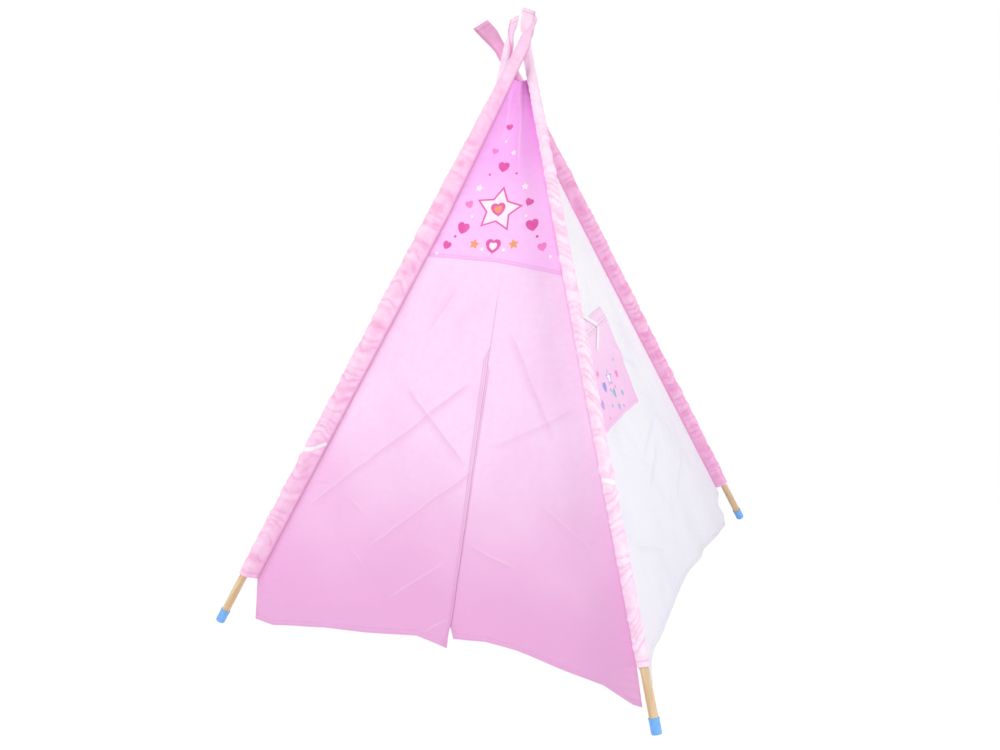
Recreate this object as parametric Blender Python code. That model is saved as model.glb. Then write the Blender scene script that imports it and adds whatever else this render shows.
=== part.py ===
"""A kids teepee: four wooden poles in gathered cloth sleeves, cloth walls between them,
a two-flap door in the front and a covered window in the right side.

Metres, +Z up. The origin is on the floor at the middle of the square base, and the door faces -Y.
"""

import math

import bmesh
import bpy
from mathutils import Matrix, Vector

# Whole tent
BASE_WIDTH = 1.200
CROSS_HEIGHT = 1.462
CROSS_OFFSET = 0.045
BACK_LEFT_CROSS_OFFSET = 0.012
TOUCH_GAP = 0.0003

# Wooden poles, each of three sections
POLE_RADIUS = 0.0105
WOOD_PAST_CROSSING = 0.0194
SECTION_CHAMFER = 0.0012

# Connector between two sections
FERRULE_RADIUS = 0.0125
FERRULE_LENGTH = 0.080
FERRULE_WEB = 0.002
FERRULE_CHAMFER = 0.0008

# Foot cap
CAP_RADIUS = 0.01225
CAP_LENGTH = 0.036
CAP_FLOOR = 0.0030
CAP_LIP = 0.0006
CAP_LIP_HEIGHT = 0.0040
CAP_ROUNDING = 0.0030
CAP_WEAR = 0.0020
FLOOR_CUT_DEPTH = 0.050

# Pole sleeve, a flat cloth casing with the pole in its outer fold and the wall seams on its inner edge
CLOTH = 0.0012
SLEEVE_WALL = 0.0009
SLEEVE_RADIUS = 0.0145
SLEEVE_SEAM_REACH = 0.0380
SLEEVE_SEAM_HALF = 0.0010
SLEEVE_SEAM_DEPTH = 0.0035
SLEEVE_START = 0.152
BACK_RIGHT_SLEEVE_START = 0.137
NECK_RADIUS = 0.0125
NECK_SEAM_REACH = 0.0200
NECK_LENGTH = 0.450
GATHER_SPACING = 0.040
GATHER_HEIGHT = 0.0030
GATHER_FADE = 0.050
FRONT_RIGHT_TIP_LENGTH = 0.135
OTHER_TIP_LENGTH = 0.100
TIP_HALF_WIDTH = 0.0225
TIP_HALF_THICKNESS = 0.0022
TIP_FLATTENING = 0.055
TIP_HEM = 0.012
FRONT_RIGHT_TIP_SWAY = 0.028
BACK_RIGHT_TIP_DROOP = 0.028
FRONT_RIGHT_TIP_TURN_DEGREES = 70
BACK_LEFT_TIP_TURN_DEGREES = 50

# Walls
WALL_TOP = 1.400
HEM_CORNER_HEIGHT = 0.020
HEM_RISE = 0.062
BILLOW = 0.006
HEM_FOLD = 0.005
HEM_FOLD_TOP = 0.500
FRONT_LEFT_TUCK = 0.052
FRONT_RIGHT_TUCK = 0.006
SIDE_TUCK = 0.085

# Door under the printed panel
BAND_HEIGHT = 0.952
SEAM_GAP = 0.0004
SLIT_GAP = 0.0016
FOLD_GAP = 0.0008
FOLD_AXIS_RISE = 0.0005
FLAP_TOP_CUT = 0.016
LEFT_FLAP_DROP = 0.020
FLAP_BILLOW = 0.010
FLAP_FOLD = 0.005

# Window in the right wall, placed along Y from the front seam beside the cover's top
WINDOW_FRONT = 0.0369
WINDOW_BACK = 0.2809
WINDOW_LOW = 0.585
WINDOW_HIGH = 0.755
COVER_FRONT = 0.0109
COVER_BACK = 0.3059
COVER_LOW = 0.550
COVER_HIGH = 0.773
COVER_LIFT = 0.004
HEADER_FRONT = 0.0329
HEADER_BACK = 0.3119
HEADER_LOW = 0.7745
HEADER_HIGH = 0.812
WINDOW_TIE_WIDTH = 0.011
WINDOW_TIE_FRONT = 0.1279
WINDOW_TIE_BEND = 0.1929
WINDOW_TIE_BEND_DROP = 0.030
WINDOW_TIE_LENGTH = 0.120
TRIM = 0.0008

# Door tie-back ribbons round the front sleeves
TIE_HEIGHT = 0.480
TIE_WIDTH = 0.012
TIE_STOP_SHORT = 0.010

# Shares of the sizes above
MIDDLE_SHARE = 0.5
SLIT_TOP_SHARE = 0.572
LEFT_SLIT_FOOT_SHARE = 0.540
RIGHT_SLIT_FOOT_SHARE = 0.563
LEFT_FOLD_FOOT_SHARE = 0.055
RIGHT_FOLD_FOOT_SHARE = 0.945

# Counts
SECTION_COUNT = 3
TURN_STEPS = 16
SECTION_ARC_POINTS = 8
SECTION_ARC_DEGREES = 115.0
PLAIN_WALL_COLUMNS = 10
PLAIN_WALL_ROWS = (8, 4)
UPPER_PANEL_COLUMNS = 8
UPPER_PANEL_ROWS = (2, 4)
DOOR_PANEL_GRID = (4, 10)
FLAP_GRID = (8, 10)
COVER_GRID = (6, 6)
HEADER_GRID = (6, 1)
WINDOW_TIE_GRID = (1, 6)
WINDOW_WALL_COLUMNS = (4, 4, 5)
WINDOW_WALL_ROWS = (6, 2, 3, 4)
TIP_RINGS = 4
TIED_POLES = 2
WALL_FOLD_COUNT = 3
FLAP_FOLD_COUNT = 1.5
SEAM_SEARCH_STEPS = 6

# Shapes of curves, smoothing and merging
PLEAT_DRIFT_SHARE = 0.9
PLEAT_LEAST_SHARE = 0.7
PLEAT_VARYING_SHARE = 0.3
PLEAT_VARYING_RATE = 1.7
TIP_LEAN_POWER = 1.5
HEM_ARCH_POWER = 2.5
HEM_FOLD_POWER = 2
TURNED_SMOOTH_DEGREES = 40
CLOTH_SMOOTH_DEGREES = 50
SLEEVE_SMOOTH_DEGREES = 60
MERGE_DISTANCE = 0.000001

UP = Vector((0, 0, 1))


def clear_scene():
    for item in list(bpy.data.objects):
        bpy.data.objects.remove(item, do_unlink=True)


def linear(level):
    """One sRGB level out of 255 as the linear value that a material takes."""
    value = level / 255
    if value <= 0.04045:
        return value / 12.92
    return ((value + 0.055) / 1.055) ** 2.4


def material(name, red, green, blue, roughness, metallic=0.0):
    made = bpy.data.materials.new(name)
    made.use_nodes = True
    shader = made.node_tree.nodes["Principled BSDF"]
    shader.inputs["Base Color"].default_value = (linear(red), linear(green), linear(blue), 1)
    shader.inputs["Roughness"].default_value = roughness
    shader.inputs["Metallic"].default_value = metallic
    return made


def smooth_step(value):
    held = min(max(value, 0.0), 1.0)
    return held * held * (3 - 2 * held)


def stepped(breaks, counts):
    """Evenly spaced values between each two breaks."""
    values = [breaks[0]]
    for low, high, count in zip(breaks, breaks[1:], counts):
        values += [low + (high - low) * step / count for step in range(1, count + 1)]
    return values


class Pole:
    """A pole's straight line from the floor, past the tent's axis, to its tip."""

    def __init__(self, name, side_x, side_y, offset=CROSS_OFFSET, sleeve_start=SLEEVE_START):
        self.name = name
        self.sleeve_start = sleeve_start
        foot = Vector((side_x * BASE_WIDTH / 2, side_y * BASE_WIDTH / 2, 0))
        turn = Matrix.Rotation(-math.asin(offset / foot.length), 3, "Z")
        inward = turn @ (-foot).normalized()
        self.foot = foot
        self.cross = foot + inward * math.sqrt(foot.length**2 - offset**2) + UP * CROSS_HEIGHT
        self.length = (self.cross - foot).length
        self.along = (self.cross - foot).normalized()
        self.across = Vector((inward.y, -inward.x, 0))
        self.into = self.along.cross(self.across)
        self.lean = self.along.angle(UP)
        self.tip = self.length + OTHER_TIP_LENGTH
        self.tip_droop = 0
        self.tip_sway = 0
        self.tip_turn = 0
        self.cap_start = CAP_RADIUS * math.tan(self.lean) - CAP_WEAR / math.cos(self.lean)
        self.wood_start = self.cap_start + CAP_FLOOR + TOUCH_GAP
        self.wood_top = self.length + WOOD_PAST_CROSSING
        connectors = (SECTION_COUNT - 1) * (FERRULE_WEB + 2 * TOUCH_GAP)
        self.section_length = (self.wood_top - self.wood_start - connectors) / SECTION_COUNT

    def section_start(self, index):
        return self.wood_start + index * (self.section_length + FERRULE_WEB + 2 * TOUCH_GAP)

    def at(self, distance):
        return self.foot + self.along * distance

    def narrowing(self, distance):
        """0 along the walls, growing to 1 where the poles cross."""
        return min(max((distance - self.length) / NECK_LENGTH + 1, 0), 1)

    def sleeve_radius(self, distance):
        return SLEEVE_RADIUS + (NECK_RADIUS - SLEEVE_RADIUS) * self.narrowing(distance)

    def seam_reach(self, distance):
        return SLEEVE_SEAM_REACH + (NECK_SEAM_REACH - SLEEVE_SEAM_REACH) * self.narrowing(distance)

    def flank_angle(self, distance):
        """The angle between the sleeve's flat side and the middle plane of its seam edge."""
        span = math.radians(SECTION_ARC_DEGREES)
        radius = self.sleeve_radius(distance)
        height = radius * math.sin(span) - SLEEVE_SEAM_HALF
        return math.atan2(height, self.seam_reach(distance) + radius * math.cos(span))

    def seam_point(self, distance):
        return self.at(distance) + self.into * self.seam_reach(distance)

    def seam_distance(self, height):
        """How far along the pole the seam stands at this height."""
        distance = height / math.cos(self.lean)
        for _ in range(SEAM_SEARCH_STEPS):
            distance += (height - self.seam_point(distance).z) / math.cos(self.lean)
        return distance

    def seam_at(self, height):
        return self.seam_point(self.seam_distance(height))

    def placed(self, distance):
        """The matrix that stands a piece, modelled along +Z, on the pole at this distance."""
        axes = Matrix((self.into, self.across, self.along)).transposed().to_4x4()
        return Matrix.Translation(self.at(distance)) @ axes


def make_poles():
    front_left = Pole("front_left", -1, -1)
    front_right = Pole("front_right", 1, -1)
    front_right.tip = front_right.length + FRONT_RIGHT_TIP_LENGTH
    front_right.tip_sway = FRONT_RIGHT_TIP_SWAY
    front_right.tip_turn = math.radians(FRONT_RIGHT_TIP_TURN_DEGREES)
    back_right = Pole("back_right", 1, 1, sleeve_start=BACK_RIGHT_SLEEVE_START)
    back_right.tip_droop = BACK_RIGHT_TIP_DROOP
    back_left = Pole("back_left", -1, 1, offset=BACK_LEFT_CROSS_OFFSET)
    back_left.tip_turn = math.radians(BACK_LEFT_TIP_TURN_DEGREES)
    return [front_left, front_right, back_right, back_left]


def new_object(name, mesh_builder, look, smooth_degrees):
    mesh = bpy.data.meshes.new(name)
    mesh_builder.to_mesh(mesh)
    mesh_builder.free()
    mesh.materials.append(look)
    mesh.shade_smooth()
    mesh.set_sharp_from_angle(angle=math.radians(smooth_degrees))
    made = bpy.data.objects.new(name, mesh)
    bpy.context.collection.objects.link(made)
    return made


def turned(name, profile, look):
    """A body of revolution about Z from a profile of (radius, height) points that starts and ends on the axis."""
    build = bmesh.new()
    points = [build.verts.new((radius, 0, height)) for radius, height in profile]
    edges = [build.edges.new(pair) for pair in zip(points, points[1:])]
    bmesh.ops.spin(
        build,
        geom=points + edges,
        cent=(0, 0, 0),
        axis=(0, 0, 1),
        angle=2 * math.pi,
        steps=TURN_STEPS,
        use_merge=True,
    )
    bmesh.ops.remove_doubles(build, verts=build.verts, dist=MERGE_DISTANCE)
    bmesh.ops.recalc_face_normals(build, faces=build.faces)
    return new_object(name, build, look, TURNED_SMOOTH_DEGREES)


def lofted(name, rings, look):
    """A closed body through rings of equally many points, with a face across its first and last ring."""
    build = bmesh.new()
    loops = [[build.verts.new(point) for point in ring] for ring in rings]
    for low, high in zip(loops, loops[1:]):
        for index in range(len(low)):
            following = (index + 1) % len(low)
            build.faces.new((low[index], low[following], high[following], high[index]))
    build.faces.new(list(reversed(loops[0])))
    build.faces.new(loops[-1])
    bmesh.ops.recalc_face_normals(build, faces=build.faces)
    return new_object(name, build, look, SLEEVE_SMOOTH_DEGREES)


def cloth_sheet(name, grid, place, look, thickness=CLOTH, keep_cell=None):
    """A cloth of even thickness: place(column, row) gives the point of each grid corner."""
    columns, rows = grid
    build = bmesh.new()
    bmesh.ops.create_grid(build, x_segments=columns, y_segments=rows, size=MIDDLE_SHARE)
    cells = {}
    for face in build.faces:
        middle = face.calc_center_median()
        cells[face] = (int((middle.x + MIDDLE_SHARE) * columns), int((middle.y + MIDDLE_SHARE) * rows))
    if keep_cell is not None:
        holes = [face for face, cell in cells.items() if not keep_cell(*cell)]
        bmesh.ops.delete(build, geom=holes, context="FACES")
    for vertex in build.verts:
        column = round((vertex.co.x + MIDDLE_SHARE) * columns)
        row = round((vertex.co.y + MIDDLE_SHARE) * rows)
        vertex.co = place(column, row)
    made = new_object(name, build, look, CLOTH_SMOOTH_DEGREES)
    solid = made.modifiers.new("Cloth thickness", "SOLIDIFY")
    solid.thickness = thickness
    solid.offset = 0
    solid.use_even_offset = True
    return made


def floor_cutter():
    """A block under the floor that wears the foot caps flat where they stand."""
    build = bmesh.new()
    bmesh.ops.create_cube(build, size=1)
    half = FLOOR_CUT_DEPTH / 2
    size = Matrix.Diagonal((2 * BASE_WIDTH, 2 * BASE_WIDTH, FLOOR_CUT_DEPTH))
    bmesh.ops.transform(build, matrix=Matrix.Translation((0, 0, -half)) @ size.to_4x4(), verts=build.verts)
    cutter = bpy.data.objects.new("floor_cutter", bpy.data.meshes.new("floor_cutter"))
    build.to_mesh(cutter.data)
    build.free()
    bpy.context.collection.objects.link(cutter)
    cutter.display_type = "WIRE"
    cutter.hide_render = True
    return cutter


def make_cap(pole, cutter, look):
    bore = POLE_RADIUS + TOUCH_GAP
    rounding = [
        (
            CAP_RADIUS - CAP_ROUNDING + CAP_ROUNDING * math.sin(math.radians(angle)),
            CAP_ROUNDING - CAP_ROUNDING * math.cos(math.radians(angle)),
        )
        for angle in (90, 60, 30, 0)
    ]
    lip = CAP_RADIUS + CAP_LIP
    profile = [
        (0, CAP_FLOOR),
        (bore, CAP_FLOOR),
        (bore, CAP_LENGTH),
        (lip, CAP_LENGTH),
        (lip, CAP_LENGTH - CAP_LIP_HEIGHT),
        (CAP_RADIUS, CAP_LENGTH - CAP_LIP_HEIGHT - CAP_LIP),
        *rounding,
        (0, 0),
    ]
    cap = turned(f"foot_cap_{pole.name}", profile, look)
    cap.matrix_world = pole.placed(pole.cap_start)
    worn = cap.modifiers.new("Worn flat", "BOOLEAN")
    worn.operation = "DIFFERENCE"
    worn.solver = "EXACT"
    worn.object = cutter
    return cap


def make_sections(pole, look):
    edge = POLE_RADIUS - SECTION_CHAMFER
    profile = [
        (0, 0),
        (edge, 0),
        (POLE_RADIUS, SECTION_CHAMFER),
        (POLE_RADIUS, pole.section_length - SECTION_CHAMFER),
        (edge, pole.section_length),
        (0, pole.section_length),
    ]
    sections = []
    for index, part in enumerate(("lower", "middle", "upper")):
        section = turned(f"pole_{part}_{pole.name}", profile, look)
        section.matrix_world = pole.placed(pole.section_start(index))
        sections.append(section)
    return sections


def make_ferrules(pole, look):
    bore = POLE_RADIUS + TOUCH_GAP
    half = FERRULE_LENGTH / 2
    web = FERRULE_WEB / 2
    edge = FERRULE_RADIUS - FERRULE_CHAMFER
    upper_half = [(0, web), (bore, web), (bore, half), (edge, half), (FERRULE_RADIUS, half - FERRULE_CHAMFER)]
    profile = upper_half + [(radius, -height) for radius, height in reversed(upper_half)]
    ferrules = []
    for index, part in enumerate(("lower", "upper"), start=1):
        ferrule = turned(f"connector_{part}_{pole.name}", profile, look)
        ferrule.matrix_world = pole.placed(pole.section_start(index) - TOUCH_GAP - web)
        ferrules.append(ferrule)
    return ferrules


def sleeve_section(radius, reach, seam_half, puff=0.0):
    """The casing's outline as (into, across) points: an arc round the pole, then the narrow seam edge.

    puff swells the arc where the cloth is gathered.
    """
    span = math.radians(SECTION_ARC_DEGREES)
    points = []
    for index in range(SECTION_ARC_POINTS):
        angle = span * (2 * index / (SECTION_ARC_POINTS - 1) - 1)
        swell = puff * max(math.cos(angle * math.pi / (2 * span)), 0)
        points.append((-(radius + swell) * math.cos(angle), (radius + swell) * math.sin(angle)))
    return points + [(reach, seam_half), (reach, -seam_half)]


def pressed(section, flatness, half_width, half_thickness):
    """The same outline pressed towards a flat end of this half width and half thickness."""
    low = min(into for into, _ in section)
    high = max(into for into, _ in section)
    middle = (low + high) / 2
    stretch = 1 + flatness * (2 * half_width / (high - low) - 1)
    widest = max(across for _, across in section)
    squeeze = 1 + flatness * (half_thickness / widest - 1)
    kept_middle = middle * (1 - flatness)
    return [(kept_middle + (into - middle) * stretch, across * squeeze) for into, across in section]


def gather_puff(pole, distance, tie_distance):
    """How far the casing puffs out here: uneven pleats every few centimetres, none at its ends or under a tie."""
    phase = distance / GATHER_SPACING
    pleat = (1 + math.cos(2 * math.pi * phase + PLEAT_DRIFT_SHARE * math.sin(phase))) / 2
    varying = math.sin(PLEAT_VARYING_RATE * phase + pole.lean * BASE_WIDTH / (2 * POLE_RADIUS))
    unevenness = PLEAT_LEAST_SHARE + PLEAT_VARYING_SHARE * varying
    fade = smooth_step((distance - pole.sleeve_start) / GATHER_FADE)
    fade *= smooth_step((pole.length - distance) / NECK_LENGTH)
    if tie_distance is not None:
        fade *= smooth_step((abs(distance - tie_distance) - TIE_WIDTH) / GATHER_FADE)
    return GATHER_HEIGHT * pleat * unevenness * fade


def tip_flatness(pole, distance):
    return smooth_step((distance - pole.wood_top) / TIP_FLATTENING)


def sleeve_ring(pole, distance, section):
    """The outline placed on the pole; past the wood the empty tip leans and turns."""
    lean = max((distance - pole.wood_top) / (pole.tip - pole.wood_top), 0) ** TIP_LEAN_POWER
    centre = pole.at(distance) + pole.into * (pole.tip_droop * lean) + pole.across * (pole.tip_sway * lean)
    turn = pole.tip_turn * tip_flatness(pole, distance)
    wide = pole.into * math.cos(turn) + pole.across * math.sin(turn)
    narrow = pole.across * math.cos(turn) - pole.into * math.sin(turn)
    return [centre + wide * into + narrow * across for into, across in section]


def make_sleeve(pole, tie_distance, look):
    """The casing as one cloth body: closed at the tip, open at its lower hem, where the pole goes in."""
    hollow_top = pole.tip - TIP_HEM
    bends = [pole.length - NECK_LENGTH, pole.length, pole.wood_top]
    tip_steps = [pole.wood_top + (hollow_top - pole.wood_top) * step / TIP_RINGS for step in range(1, TIP_RINGS + 1)]
    inner = []
    for distance in reversed([pole.sleeve_start, *bends, *tip_steps]):
        radius = pole.sleeve_radius(distance) - SLEEVE_WALL
        reach = pole.seam_reach(distance) - SLEEVE_SEAM_DEPTH
        section = sleeve_section(radius, reach, SLEEVE_SEAM_HALF / 2)
        half_width = TIP_HALF_WIDTH - SLEEVE_SEAM_DEPTH
        section = pressed(section, tip_flatness(pole, distance), half_width, TIP_HALF_THICKNESS - SLEEVE_WALL)
        inner.append(sleeve_ring(pole, distance, section))
    neck_start = pole.length - NECK_LENGTH
    wall_count = round((neck_start - pole.sleeve_start) / (GATHER_SPACING / 2))
    neck_count = round(NECK_LENGTH / (GATHER_SPACING / 2))
    steps = stepped((pole.sleeve_start, neck_start, pole.length), (wall_count, neck_count))
    outer = []
    for distance in [*steps, pole.wood_top, *tip_steps, pole.tip]:
        puff = gather_puff(pole, distance, tie_distance)
        section = sleeve_section(pole.sleeve_radius(distance), pole.seam_reach(distance), SLEEVE_SEAM_HALF, puff)
        section = pressed(section, tip_flatness(pole, distance), TIP_HALF_WIDTH, TIP_HALF_THICKNESS)
        outer.append(sleeve_ring(pole, distance, section))
    return lofted(f"sleeve_{pole.name}", inner + outer, look)


def make_tie(pole, tie_distance, look):
    """A ribbon laid round the casing, its two ends short of the wall seams."""
    radius = pole.sleeve_radius(tie_distance)
    reach = pole.seam_reach(tie_distance)
    flank = sleeve_section(radius, reach, SLEEVE_SEAM_HALF)
    arc = flank[:SECTION_ARC_POINTS]
    share = 1 - TIE_STOP_SHORT / (reach - arc[0][0])
    ends = [
        tuple(start + (seam - start) * share for start, seam in zip(side, seam_point))
        for side, seam_point in ((arc[0], flank[-1]), (arc[-1], flank[-2]))
    ]
    path = [Vector(point) for point in (ends[0], *arc, ends[1])]
    half = pole.along * (TIE_WIDTH / 2)
    centre = pole.at(tie_distance)
    rings = []
    for index, point in enumerate(path):
        before = path[max(index - 1, 0)]
        after = path[min(index + 1, len(path) - 1)]
        run = (after - before).normalized()
        outward = Vector((-run.y, run.x))
        ring = []
        for depth, side in ((TOUCH_GAP, -1), (TOUCH_GAP + TRIM, -1), (TOUCH_GAP + TRIM, 1), (TOUCH_GAP, 1)):
            into, across = point + outward * depth
            ring.append(centre + pole.into * into + pole.across * across + half * side)
        rings.append(ring)
    return lofted(f"door_tie_{pole.name}", rings, look)


class Wall:
    """The cloth between two neighbouring poles, left and right as seen from outside."""

    def __init__(self, left, right, left_tuck, right_tuck, billow=BILLOW, billow_low=HEM_CORNER_HEIGHT):
        self.poles = (left, right)
        self.tucks = (left_tuck, right_tuck)
        self.billow = billow
        self.billow_low = billow_low
        low = [self.extended_seam(pole, HEM_CORNER_HEIGHT) for pole in self.poles]
        high = (left.seam_at(WALL_TOP) + right.seam_at(WALL_TOP)) / 2
        self.neck_height = left.seam_point(left.length - NECK_LENGTH).z
        self.normal = (low[1] - low[0]).cross(high - low[0]).normalized()

    def extended_seam(self, pole, height):
        """The seam line carried on straight below the sleeve's lower hem."""
        start = pole.seam_point(pole.sleeve_start)
        return start - pole.along * ((start.z - height) / pole.along.z)

    def edge(self, side, height):
        """A point of the wall's left (0) or right (1) edge before it is set in from the seam."""
        pole = self.poles[side]
        sleeve_end = pole.seam_point(pole.sleeve_start)
        if height >= sleeve_end.z:
            return pole.seam_at(height)
        low = [self.extended_seam(end, HEM_CORNER_HEIGHT) for end in self.poles]
        inward = (low[1] - low[0]).normalized() * (1, -1)[side]
        corner = low[side] + inward * self.tucks[side]
        share = (height - HEM_CORNER_HEIGHT) / (sleeve_end.z - HEM_CORNER_HEIGHT)
        return corner.lerp(sleeve_end, share)

    def hem_height(self, share):
        return HEM_CORNER_HEIGHT + HEM_RISE * (1 - abs(2 * share - 1) ** HEM_ARCH_POWER)

    def inset(self, side, height, direction):
        """How far the cloth starts from the seam, so that it clears the sleeve's flank, which it leaves at an angle."""
        pole = self.poles[side]
        into = direction.dot(pole.into)
        across = direction.dot(pole.across)
        run = math.hypot(into, across)
        flank = pole.flank_angle(pole.seam_distance(height))
        leaving = min(math.acos(-into / run) - flank, math.pi / 2)
        clear = TOUCH_GAP + SLEEVE_SEAM_HALF * math.cos(flank) + CLOTH / 2 * math.cos(leaving)
        return clear / (math.sin(leaving) * run)

    def chord(self, share, height):
        """A point of the flat wall: share runs from the left edge to the right."""
        left = self.edge(0, height)
        right = self.edge(1, height)
        direction = (right - left).normalized()
        start = left + direction * self.inset(0, height, direction)
        end = right - direction * self.inset(1, height, -direction)
        return start.lerp(end, share)

    def surface(self, share, height):
        """The wall as it hangs: a slight billow and soft folds that deepen towards the hem."""
        rise = (height - self.billow_low) / (WALL_TOP - self.billow_low)
        depth = max((HEM_FOLD_TOP - height) / (HEM_FOLD_TOP - HEM_CORNER_HEIGHT), 0)
        span = math.sin(math.pi * share)
        billow = self.billow * span * math.sin(math.pi * max(rise, 0))
        fold = HEM_FOLD * span * math.sin(2 * math.pi * WALL_FOLD_COUNT * share) * depth**HEM_FOLD_POWER
        return self.chord(share, height) + self.normal * (billow + fold)

    def share_at(self, from_seam, height):
        """The share of the width at a place measured along Y from the left seam beside the window cover's top."""
        left = self.chord(0, height).y
        right = self.chord(1, height).y
        return (self.chord(0, COVER_HIGH).y + from_seam - left) / (right - left)


def plain_wall(name, wall, columns, rows, low_height, look):
    """low_height is the wall's lower edge: its arched hem, or a level seam. The rows bend where the necks start."""

    def place(column, row):
        share = column / columns
        low = wall.hem_height(share) if low_height is None else low_height
        return wall.surface(share, stepped((low, wall.neck_height, WALL_TOP), rows)[row])

    return cloth_sheet(name, (columns, sum(rows)), place, look)


def window_wall(name, wall, look):
    """The right wall, whose grid lines follow the window so that its opening is square."""
    columns, rows = WINDOW_WALL_COLUMNS, WINDOW_WALL_ROWS
    hem_level = HEM_CORNER_HEIGHT + HEM_RISE

    def place(column, row):
        hem_shares = (0, wall.share_at(WINDOW_FRONT, hem_level), wall.share_at(WINDOW_BACK, hem_level), 1)
        low = wall.hem_height(stepped(hem_shares, columns)[column])
        height = stepped((low, WINDOW_LOW, WINDOW_HIGH, wall.neck_height, WALL_TOP), rows)[row]
        aligned = min(height, WINDOW_HIGH)
        shares = (0, wall.share_at(WINDOW_FRONT, aligned), wall.share_at(WINDOW_BACK, aligned), 1)
        return wall.surface(stepped(shares, columns)[column], height)

    def keep_cell(column, row):
        beside = not columns[0] <= column < columns[0] + columns[1]
        above_or_below = not rows[0] <= row < rows[0] + rows[1]
        return beside or above_or_below

    return cloth_sheet(name, (sum(columns), sum(rows)), place, look, keep_cell=keep_cell)


def on_window_wall(wall, from_seam, height, lift):
    """A point in front of the right wall's outer face, lift above it."""
    return wall.surface(wall.share_at(from_seam, height), height) + wall.normal * (CLOTH / 2 + lift)


def cover_lift(height):
    """The cover's middle surface stands a little further off the wall towards its free hem."""
    hang = (COVER_HIGH - height) / (COVER_HIGH - COVER_LOW)
    return TOUCH_GAP + CLOTH / 2 + COVER_LIFT * hang


def make_window_cover(wall, look):
    columns, rows = COVER_GRID

    def place(column, row):
        height = COVER_LOW + (COVER_HIGH - COVER_LOW) * row / rows
        from_seam = COVER_FRONT + (COVER_BACK - COVER_FRONT) * column / columns
        return on_window_wall(wall, from_seam, height, cover_lift(height))

    return cloth_sheet("window_cover", COVER_GRID, place, look)


def make_window_header(wall, look):
    columns, rows = HEADER_GRID

    def place(column, row):
        height = HEADER_LOW + (HEADER_HIGH - HEADER_LOW) * row / rows
        from_seam = HEADER_FRONT + (HEADER_BACK - HEADER_FRONT) * column / columns
        return on_window_wall(wall, from_seam, height, TOUCH_GAP + CLOTH / 2)

    return cloth_sheet("window_header", HEADER_GRID, place, look)


def make_window_tie(wall, look):
    """The ribbon that ties the rolled cover up: it slants out from under the header, then hangs down the cover."""
    columns, rows = WINDOW_TIE_GRID
    bend_height = COVER_HIGH - WINDOW_TIE_BEND_DROP
    slant = (WINDOW_TIE_BEND - WINDOW_TIE_FRONT) / WINDOW_TIE_BEND_DROP

    def place(column, row):
        height = COVER_HIGH - WINDOW_TIE_LENGTH * row / rows
        middle = WINDOW_TIE_BEND - slant * max(height - bend_height, 0)
        from_seam = middle + WINDOW_TIE_WIDTH * (column / columns - 0.5)
        lift = cover_lift(height) + CLOTH / 2 + TOUCH_GAP + TRIM / 2
        return on_window_wall(wall, from_seam, height, lift)

    return cloth_sheet("window_tie", WINDOW_TIE_GRID, place, look, thickness=TRIM)


class DoorSide:
    """One half of the door: a panel sewn to its sleeve and a free flap, parted by a slanting fold line."""

    def __init__(self, name, wall, side, slit_foot_share, fold_foot_share, foot_drop):
        self.name = name
        self.wall = wall
        self.side = side
        self.slit_foot_share = slit_foot_share
        self.fold_foot_share = fold_foot_share
        self.foot_drop = foot_drop
        self.towards_slit = (1, -1)[side]
        self.top_height = BAND_HEIGHT - SEAM_GAP
        self.top_point = wall.chord(SLIT_TOP_SHARE, self.top_height)
        self.sideways = (wall.chord(1, self.top_height) - wall.chord(0, self.top_height)).normalized()
        self.fold_foot = wall.chord(fold_foot_share, wall.hem_height(fold_foot_share))
        self.slit_foot = wall.chord(slit_foot_share, wall.hem_height(slit_foot_share) - foot_drop)

    def line(self, foot, height, shift):
        """A point on the straight line from the slit's top to foot, moved sideways by shift."""
        share = (self.top_height - height) / (self.top_height - foot.z)
        return self.top_point.lerp(foot, share) + self.sideways * shift

    def fold_line(self, height, shift):
        return self.line(self.fold_foot, height, shift * self.towards_slit)

    def slit_line(self, height):
        return self.line(self.slit_foot, height, -self.towards_slit * SLIT_GAP / 2)

    def panel_point(self, share, rise):
        """share runs from the sleeve to the fold line, rise from the hem to the seam under the printed panel."""
        whole_share = self.side + share * (self.fold_foot_share - self.side)
        low = self.wall.hem_height(whole_share)
        height = low + (self.top_height - low) * rise
        outer = self.wall.chord(self.side, height)
        point = outer.lerp(self.fold_line(height, -FOLD_GAP / 2), share)
        return point + self.wall.normal * (FLAP_FOLD * math.sin(math.pi * share) * math.sin(math.pi * rise))

    def flap_point(self, share, rise):
        """share runs from the fold line to the slit, rise from the hem to just under the slit's top."""
        whole_share = self.fold_foot_share + share * (self.slit_foot_share - self.fold_foot_share)
        low = self.wall.hem_height(whole_share) - self.foot_drop * share**2
        high = self.top_height - FLAP_TOP_CUT
        height = low + (high - low) * rise
        point = self.fold_line(height, FOLD_GAP / 2).lerp(self.slit_line(height), share)
        billow = FLAP_BILLOW * math.sin(math.pi * share) * math.sin(math.pi * rise)
        folds = FLAP_FOLD * math.sin(2 * math.pi * FLAP_FOLD_COUNT * share) * share * (1 - rise)
        return point + self.wall.normal * (billow + folds)

    def make_sheet(self, part, grid, point_at, look):
        columns, rows = grid

        def place(column, row):
            along = column / columns
            share = along if self.side == 0 else 1 - along
            return point_at(share, row / rows)

        return cloth_sheet(f"door_{self.name}_{part}", grid, place, look)

    def pivot(self):
        """A point of the fold axis, which lies just outside the cloth's outer face."""
        return self.top_point + self.wall.normal * (CLOTH / 2 + FOLD_AXIS_RISE)


def empty(name, location):
    made = bpy.data.objects.new(name, None)
    bpy.context.collection.objects.link(made)
    made.location = location
    return made


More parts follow.
